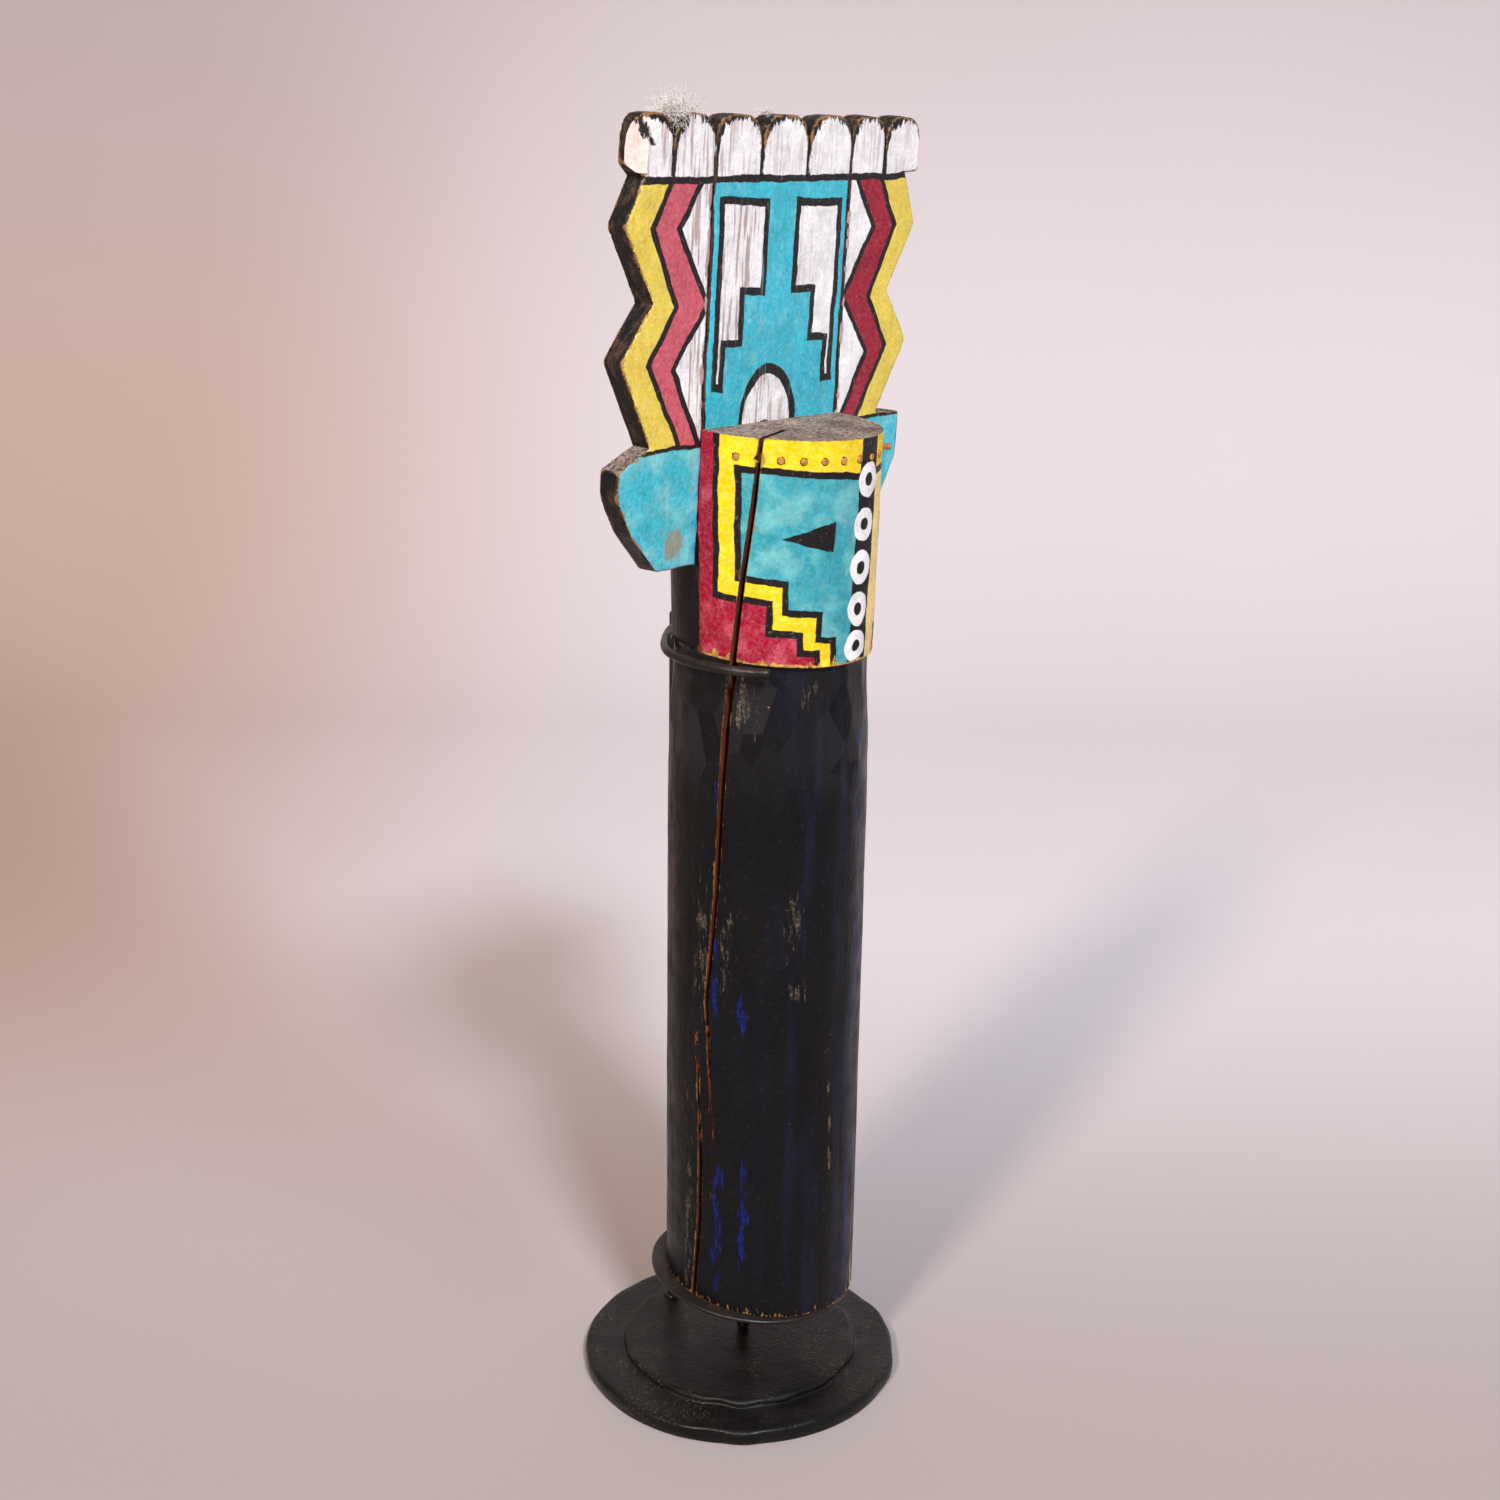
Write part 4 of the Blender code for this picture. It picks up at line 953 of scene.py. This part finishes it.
class DOLL_OT_carved_log(bpy.types.Operator):
    """Log, mask and tablet, which are carved from one piece of wood"""
    bl_idname = "doll.carved_log"
    bl_label = "Carved log"

    def execute(self, context):
        carving = context.scene.doll_carving
        mesh = refined("carved_log", carving.cell)

        def rule(place, normal):
            on_board = place.z / MM > MASK_TOP + 6
            return (carve_board if on_board else carve_round)(place, normal, carving)

        displace(mesh, rule)
        piece = new_piece("log_with_mask_and_tablet", mesh, bpy.data.materials["round_paint"],
                          bpy.data.materials["front_paint"], bpy.data.materials["sawn_wood"],
                          bpy.data.materials["crack_wood"])
        assign_slots(mesh, log_slot)
        soften(mesh, radians(38))
        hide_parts("carved_log")
        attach(piece, "root")
        return {"FINISHED"}


class DOLL_OT_side_boards(bpy.types.Operator):
    """Ear, zigzag wing and two lobes on each side of the tablet"""
    bl_idname = "doll.side_boards"
    bl_label = "Side boards"

    def execute(self, context):
        carving = context.scene.doll_carving
        for side in ("left", "right"):
            node = side + "_side_board"
            mesh = refined(node, carving.cell * 0.62)
            displace(mesh, lambda place, normal: carve_board(place, normal, carving))
            piece = new_piece(side + "_painted_board", mesh, bpy.data.materials["front_paint"],
                              bpy.data.materials["sawn_wood"])

            def choose(centre, normal):
                on_ear_top = 0.3339 < centre.z < 0.3560 and normal.z > 0.6
                return 1 if on_ear_top and abs(centre.x / MM - LOG_X) > 55 else 0

            assign_slots(mesh, choose)
            soften(mesh, radians(38))
            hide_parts(node)
            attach(piece, "root")
        return {"FINISHED"}


class DOLL_OT_brow_pegs(bpy.types.Operator):
    """Small pegs round the upper edge of the mask, each slightly domed and out of true"""
    bl_idname = "doll.brow_pegs"
    bl_label = "Brow pegs"

    def execute(self, context):
        for node in sorted(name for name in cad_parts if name.startswith("brow_peg")):
            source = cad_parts[node].data
            centre = sum((vertex.co for vertex in source.vertices), Vector()) / len(source.vertices)
            outward = Vector((centre.x - LOG_X * MM, centre.y - LOG_Y * MM, 0)).normalized()
            reach = max((vertex.co - centre).dot(outward) for vertex in source.vertices)
            radius = max((vertex.co.z - centre.z) for vertex in source.vertices)
            work = bmesh.new()
            bmesh.ops.create_cone(work, cap_ends=True, segments=18, radius1=radius, radius2=radius,
                                  depth=2 * reach)
            rims = [edge for edge in work.edges if abs(edge.verts[0].co.z - edge.verts[1].co.z) < 1e-6]
            bmesh.ops.bevel(work, geom=rims, offset=0.22 * MM, segments=3, affect="EDGES", profile=0.5)
            turn = outward.to_track_quat("Z", "Y").to_matrix().to_4x4()
            bmesh.ops.transform(work, matrix=Matrix.Translation(centre) @ turn, verts=work.verts)
            for vertex in work.verts:
                vertex.co += vertex.co.normalized() * 0.0
                vertex.co.z += 0.08 * MM * ripple(vertex.co, 0.002, 8)
            mesh = bpy.data.meshes.new(node + "_turned")
            work.to_mesh(mesh)
            work.free()
            piece = new_piece("wooden_" + node, mesh, bpy.data.materials["brown_peg"])
            soften(mesh, radians(40))
            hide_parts(node)
            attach(piece, "root")
        return {"FINISHED"}


def lathe(name, profile, columns, shake):
    """A closed turned mesh from (radius, height) points; shake moves each point out of true."""
    work = bmesh.new()
    rings = []
    for radius, height in profile:
        if radius == 0:
            rings.append([work.verts.new((0, 0, height))])
            continue
        ring = []
        for column in range(columns):
            angle = tau * column / columns
            place = Vector((radius * cos(angle), radius * sin(angle), height))
            ring.append(work.verts.new(shake(place)))
        rings.append(ring)
    for upper, lower in zip(rings, rings[1:]):
        for column in range(columns):
            ahead = (column + 1) % columns
            corners = [upper[column % len(upper)], lower[column % len(lower)], lower[ahead % len(lower)],
                       upper[ahead % len(upper)]]
            work.faces.new(list(dict.fromkeys(corners)))
    bmesh.ops.recalc_face_normals(work, faces=work.faces)
    mesh = bpy.data.meshes.new(name)
    work.to_mesh(mesh)
    work.free()
    return mesh


class DOLL_OT_stand_base(bpy.types.Operator):
    """Turned round foot in two tiers, with hand-made rims"""
    bl_idname = "doll.stand_base"
    bl_label = "Stand base"

    def execute(self, context):
        outer = BASE_HIGH[0]
        top = BASE_HIGH[2]
        step = top - 2.6 * MM
        tier = outer - 14.7 * MM
        profile = [(0, top)]
        profile += [(tier * share, top) for share in (0.1, 0.3, 0.5, 0.7, 0.85, 0.93)]
        profile += [(tier - 1.4 * MM * (1 - sin(angle)), top - 1.4 * MM * (1 - cos(angle)))
                    for angle in (0.0, 0.4, 0.8, 1.2, pi / 2)]
        profile += [(tier, step + 0.5 * MM), (tier + 0.4 * MM, step + 0.1 * MM), (tier + 1.2 * MM, step)]
        profile += [(tier + (outer - tier) * share, step) for share in (0.25, 0.5, 0.75)]
        profile += [(outer - 1.8 * MM * (1 - sin(angle)), step - 1.8 * MM * (1 - cos(angle)))
                    for angle in (0.0, 0.4, 0.8, 1.2, pi / 2)]
        profile += [(outer, step / 2), (outer - 0.2 * MM, 0.8 * MM), (outer - 0.8 * MM, 0), (outer * 0.8, 0),
                    (outer * 0.4, 0), (0, 0)]

        def shake(place):
            if place.z < 0.3 * MM:
                return place
            away = Vector((place.x, place.y, 0)).normalized()
            around = Vector((place.x, place.y, 0))
            reach = around.length
            rim = max(1 - abs(reach - outer) / (2.2 * MM), 1 - abs(reach - tier) / (2.0 * MM), 0.0)
            out = 1.1 * MM * ripple(away * 0.05, 0.011, 2) * rim + 0.25 * MM * ripple(around, 0.03, 5)
            up = 1.1 * MM * ripple(away * 0.05, 0.010, 7) * rim + 0.12 * MM * ripple(around, 0.02, 9)
            share = min(1.0, place.z / (2 * MM))
            return place + away * (out - 0.1 * MM) + Vector((0, 0, (up - 0.1 * MM) * share))

        piece = new_piece("turned_stand_base", lathe("turned_stand_base", profile, 144, shake),
                          bpy.data.materials["satin_black"])
        soften(piece.data, radians(50))
        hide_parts("stand_base")
        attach(piece, "root")
        return {"FINISHED"}


def rounded_rod(radius, bottom, top, edge, rows):
    """Profile of a straight rod or disc with rounded rims, from its top down."""
    turns = [pi / 2 * step / 3 for step in range(4)]
    profile = [(0, top), (radius * 0.5, top)]
    profile += [(radius - edge * (1 - sin(turn)), top - edge * (1 - cos(turn))) for turn in turns]
    profile += [(radius, top - edge + (bottom - top + 2 * edge) * row / rows) for row in range(1, rows)]
    profile += [(radius - edge * (1 - cos(turn)), bottom + edge * (1 - sin(turn))) for turn in turns]
    return profile + [(radius * 0.5, bottom), (0, bottom)]


def forged(place):
    return place * (1 + 0.012 * ripple(place, 0.006, 3))


def unmoved(place):
    return place


class DOLL_OT_stand_wires(bpy.types.Operator):
    """Rod, pin, plate and hoop, with a weld bead where the rod meets the foot"""
    bl_idname = "doll.stand_wires"
    bl_label = "Stand wires"

    def execute(self, context):
        black = bpy.data.materials["blackened_wire"]
        pieces = {}
        for node in ("stand_upright", "stand_pin"):
            low, high = (Vector(corner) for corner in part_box(node))
            radius = (high.x - low.x) / 2
            middle = Vector(((low.x + high.x) / 2, (low.y + high.y) / 2, 0))
            mesh = lathe(node + "_rod", rounded_rod(radius, low.z, high.z, radius * 0.35, 60), 28, unmoved)
            mesh.transform(Matrix.Translation(middle))
            pieces[node] = new_piece("black_" + node, mesh, black)
        hoop = reworked("stand_upper_hoop", "SUBSURF", levels=2, render_levels=2)
        low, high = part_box("stand_upper_hoop")
        lost = (high[0] - low[0] - max(v.co.x for v in hoop.vertices) + min(v.co.x for v in hoop.vertices)) / 2
        displace(hoop, lambda place, normal: lost + 0.05 * MM * ripple(place, 0.005, 6))
        pieces["stand_upper_hoop"] = new_piece("black_hoop", hoop, black)
        plate = reworked("stand_plate", "BEVEL", width=0.45 * MM, segments=3, limit_method="ANGLE",
                         angle_limit=radians(40))
        pieces["stand_plate"] = new_piece("black_plate", plate, black)
        for node, piece in pieces.items():
            soften(piece.data, radians(45))
            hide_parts(node)
            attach(piece, "root")
        low, high = (Vector(corner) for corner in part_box("stand_upright"))
        foot = Vector(((low.x + high.x) / 2, (low.y + high.y) / 2, BASE_HIGH[2]))
        reach = (high.x - low.x) * 0.72
        profile = [(0, 1.4 * MM)]
        profile += [(reach * sin(turn), 1.4 * MM * cos(turn)) for turn in (0.25, 0.5, 0.8, 1.1, 1.35, pi / 2)]
        profile += [(reach, -0.3 * MM), (0, -0.3 * MM)]
        bead = lathe("foot_weld", profile, 28, lambda place: place * (1 + 0.1 * ripple(place, 0.002, 4)))
        bead.transform(Matrix.Translation(foot))
        piece = new_piece("foot_weld", bead, black)
        soften(bead, radians(60))
        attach(piece, "root")
        return {"FINISHED"}


class DOLL_OT_down(bpy.types.Operator):
    """Tuft of down caught between the two lobes on the left, and two wisps on the right"""
    bl_idname = "doll.down"
    bl_label = "Down"

    def execute(self, context):
        turn, shift = board_mapping()
        back = Matrix.LocRotScale(shift, turn, None).inverted()
        tufts = ((-52.0, 450.0, 13.5, context.scene.doll_carving.fibres, 5.0), (-45.0, 452.5, 9.0, 50, 6.0),
                 (-7.5, 452.6, 3.2, 60, 5.0))
        work = bmesh.new()
        for across, height, length, count, spread in tufts:
            for index in range(count):
                seed = Vector((index * 1.7 + across, index * 0.37, height))
                draw = drift(seed)
                root = Vector((across + spread * 0.5 * draw.x * 1.6, height + 0.6 * draw.z, -3.9 + 4 * draw.y))
                lean = drift(seed * 3.1 + Vector((9, 2, 5)))
                grow(work, root, Vector((lean.x * 1.3 + 0.6, 1.0, lean.z * 1.2)), length * (0.5 + abs(lean.y)),
                     seed)
        work.transform(back @ Matrix.Scale(MM, 4))
        mesh = bpy.data.meshes.new("down_tuft")
        work.to_mesh(mesh)
        work.free()
        piece = new_piece("down_tuft", mesh, bpy.data.materials["pale_down"])
        soften(mesh, pi)
        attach(piece, "root")
        return {"FINISHED"}


def grow(work, root, way, length, seed):
    """One curling fibre as a thin closed three-sided tube, in millimetres."""
    steps = 11
    sides = 3
    place = root
    way = way.normalized()
    rings = []
    for step in range(steps + 1):
        share = step / steps
        radius = 0.095 * (1 - 0.6 * share)
        first = way.orthogonal().normalized()
        second = way.cross(first)
        rings.append([work.verts.new(place + radius * (first * cos(tau * s / sides) + second * sin(tau * s / sides)))
                      for s in range(sides)])
        bend = drift(seed + place * 0.35)
        way = (way + bend * 1.9).normalized()
        place = place + way * length / steps
    for lower, upper in zip(rings, rings[1:]):
        for s in range(sides):
            work.faces.new((lower[s], lower[(s + 1) % sides], upper[(s + 1) % sides], upper[s]))
    work.faces.new(rings[0][::-1])
    work.faces.new(rings[-1])


# Camera fitted to the photograph, in millimetres and degrees
CAMERA_AWAY = 674.5
CAMERA_HEIGHT = 434.9
CAMERA_TURN = radians(50.90)
CAMERA_YAW = radians(0.05)
CAMERA_PITCH = radians(16.11)
CAMERA_ROLL = radians(0.86)
CAMERA_LENS = 48.19
SENSOR = 36.0


def camera_matrix():
    place = Vector((-CAMERA_AWAY * sin(CAMERA_TURN), -CAMERA_AWAY * cos(CAMERA_TURN), CAMERA_HEIGHT)) * MM
    heading = CAMERA_TURN + CAMERA_YAW
    ahead = Vector((sin(heading) * cos(CAMERA_PITCH), cos(heading) * cos(CAMERA_PITCH), -sin(CAMERA_PITCH)))
    right = Vector((cos(heading), -sin(heading), 0))
    above = right.cross(ahead)
    across = right * cos(CAMERA_ROLL) + above * sin(CAMERA_ROLL)
    up = above * cos(CAMERA_ROLL) - right * sin(CAMERA_ROLL)
    matrix = Matrix((across, up, -ahead)).transposed().to_4x4()
    matrix.translation = place
    return matrix


def area_light(name, place, target, size, power, colour):
    data = bpy.data.lights.new(name, "AREA")
    data.shape = "DISK"
    data.size = size
    data.energy = power
    data.color = colour
    light = bpy.data.objects.new(name, data)
    bpy.context.scene.collection.objects.link(light)
    light.location = place
    light.rotation_euler = (Vector(target) - Vector(place)).to_track_quat("-Z", "Y").to_euler()
    return light


class DOLL_OT_stage(bpy.types.Operator):
    """Pale sweep with painted shade and a painted shadow, soft lights and the camera"""
    bl_idname = "doll.stage"
    bl_label = "Stage"

    def execute(self, context):
        stage = context.scene.doll_stage
        web, shader, material = new_material("pale_floor")
        cloud = web.noise(web.place(), 0.6, 2.0)
        floor = tuple(stage.floor)
        shade = web.blend(web.ramp(cloud, 0.3, 0.7), tuple(0.97 * value for value in floor), floor)
        spot = web.add("SeparateXYZ")
        web.feed(spot.inputs[0], web.place())
        # Painted warm shade on the left of the sweep, less warm higher up the backdrop.
        painted_warm_shade_left = web.ramp(spot.outputs[0], -0.6, -0.02, 0.95, 0.0)
        warm_shade_colour = web.blend(web.ramp(spot.outputs[1], 0.35, 0.95), tone(180, 150, 134), tone(198, 172, 158))
        warm_shade_colour = web.blend(web.ramp(spot.outputs[2], 0.1, 0.75), warm_shade_colour, tone(188, 178, 180))
        shade = web.blend(painted_warm_shade_left, shade, warm_shade_colour)
        # Painted warm shadow: a soft streak running back and to the left from the stand's foot.
        aside = web.math("MULTIPLY", spot.outputs[0], -1.0)
        off_shadow_streak = web.math("ABSOLUTE", web.math("ADD", spot.outputs[0], spot.outputs[1]))
        breadth = web.math("MULTIPLY_ADD", web.math("MAXIMUM", aside, 0.0), 0.5, 0.05)
        streak = web.ramp(web.math("DIVIDE", off_shadow_streak, breadth), 0.1, 1.4, 0.55, 0.0)
        streak = web.math("MULTIPLY", streak, web.ramp(aside, 0.02, 0.12))
        shade = web.blend(streak, shade, tone(176, 146, 130))
        # Painted shade: darker nearer the camera and higher up the backdrop, where less light falls.
        painted_shade_near = web.ramp(spot.outputs[1], -0.12, 0.5, 0.95, 0.0)
        shade = web.blend(painted_shade_near, shade, tone(172, 160, 156))
        painted_shade_high = web.ramp(spot.outputs[2], 0.05, 0.9, 0.0, 0.7)
        shade = web.blend(painted_shade_high, shade, tone(186, 176, 174))
        finish_surface(web, shader, shade, 0.9, web.noise(web.place(), 0.002, 2.0), 0.00005)
        profile = [(0.0, 0.0), (0.9, 0.0)]
        profile += [(0.9 + 0.6 * sin(angle), 0.6 * (1 - cos(angle))) for angle in
                    [pi / 2 * step / 16 for step in range(1, 17)]]
        profile += [(1.5, 2.4)]
        work = bmesh.new()
        rows = []
        for away, height in [(-1.6, 0.0)] + profile:
            rows.append([work.verts.new((across, away, height)) for across in (-3.0, 3.0)])
        for lower, upper in zip(rows, rows[1:]):
            work.faces.new((lower[0], lower[1], upper[1], upper[0]))
        mesh = bpy.data.meshes.new("sweep")
        work.to_mesh(mesh)
        work.free()
        sweep = new_piece("sweep", mesh, material)
        soften(mesh, pi)
        sweep.rotation_euler = (0, 0, -CAMERA_TURN)
        target = (0, 0, 0.2)
        area_light("key_light", (-2.44, -0.52, 1.92), target, 0.42, stage.key_power * 10, tone(255, 236, 216))
        area_light("fill_light", (-1.28, -2.14, 2.7), target, 0.62, stage.fill_power * 10, tone(232, 240, 255))
        world = bpy.data.worlds.new("studio")
        world.use_nodes = True
        world.node_tree.nodes["Background"].inputs[0].default_value = (*tone(240, 232, 230), 1)
        world.node_tree.nodes["Background"].inputs[1].default_value = 0.34
        context.scene.world = world
        data = bpy.data.cameras.new("photo_camera")
        data.lens = CAMERA_LENS
        data.sensor_width = SENSOR
        data.sensor_fit = "HORIZONTAL"
        camera = bpy.data.objects.new("photo_camera", data)
        context.scene.collection.objects.link(camera)
        camera.matrix_world = camera_matrix()
        context.scene.camera = camera
        context.scene.view_settings.view_transform = "Standard"
        return {"FINISHED"}


class DOLL_OT_finishes(bpy.types.Operator):
    """Paints, woods and metals that the pieces share"""
    bl_idname = "doll.finishes"
    bl_label = "Finishes"

    def execute(self, context):
        build_groups()
        paint = context.scene.doll_paint
        make_log_paint(paint)
        make_board_paint(paint)
        make_sawn_wood()
        make_crack_wood()
        make_peg_wood()
        make_stand_black()
        make_wire_black()
        make_down_material()
        return {"FINISHED"}


class DOLL_PT_panel(bpy.types.Panel):
    """Sizes, colours and steps of the prayer stick doll"""
    bl_idname = "DOLL_PT_panel"
    bl_label = "Prayer Stick Doll"
    bl_space_type = "VIEW_3D"
    bl_region_type = "UI"
    bl_category = "Prayer Stick Doll"

    def draw(self, context):
        for group in (context.scene.doll_paint, context.scene.doll_carving, context.scene.doll_stage):
            for name in group.bl_rna.properties.keys():
                if name not in {"name", "rna_type"}:
                    self.layout.prop(group, name)
        for step in STEPS:
            self.layout.operator(step.bl_idname)


GROUPS = {"doll_paint": DOLL_PG_paint, "doll_carving": DOLL_PG_carving, "doll_stage": DOLL_PG_stage}
STEPS = (DOLL_OT_stage, DOLL_OT_finishes, DOLL_OT_carved_log, DOLL_OT_side_boards, DOLL_OT_brow_pegs,
         DOLL_OT_stand_base, DOLL_OT_stand_wires, DOLL_OT_down)
CLASSES = (*GROUPS.values(), *STEPS, DOLL_PT_panel)


def register():
    for item in CLASSES:
        bpy.utils.register_class(item)
    for name, group in GROUPS.items():
        setattr(bpy.types.Scene, name, PointerProperty(type=group))


def unregister():
    for name in GROUPS:
        delattr(bpy.types.Scene, name)
    for item in reversed(CLASSES):
        bpy.utils.unregister_class(item)


def main():
    register()
    for step in STEPS:
        family, name = step.bl_idname.split(".")
        getattr(getattr(bpy.ops, family), name)()


if __name__ == "__main__":
    main()
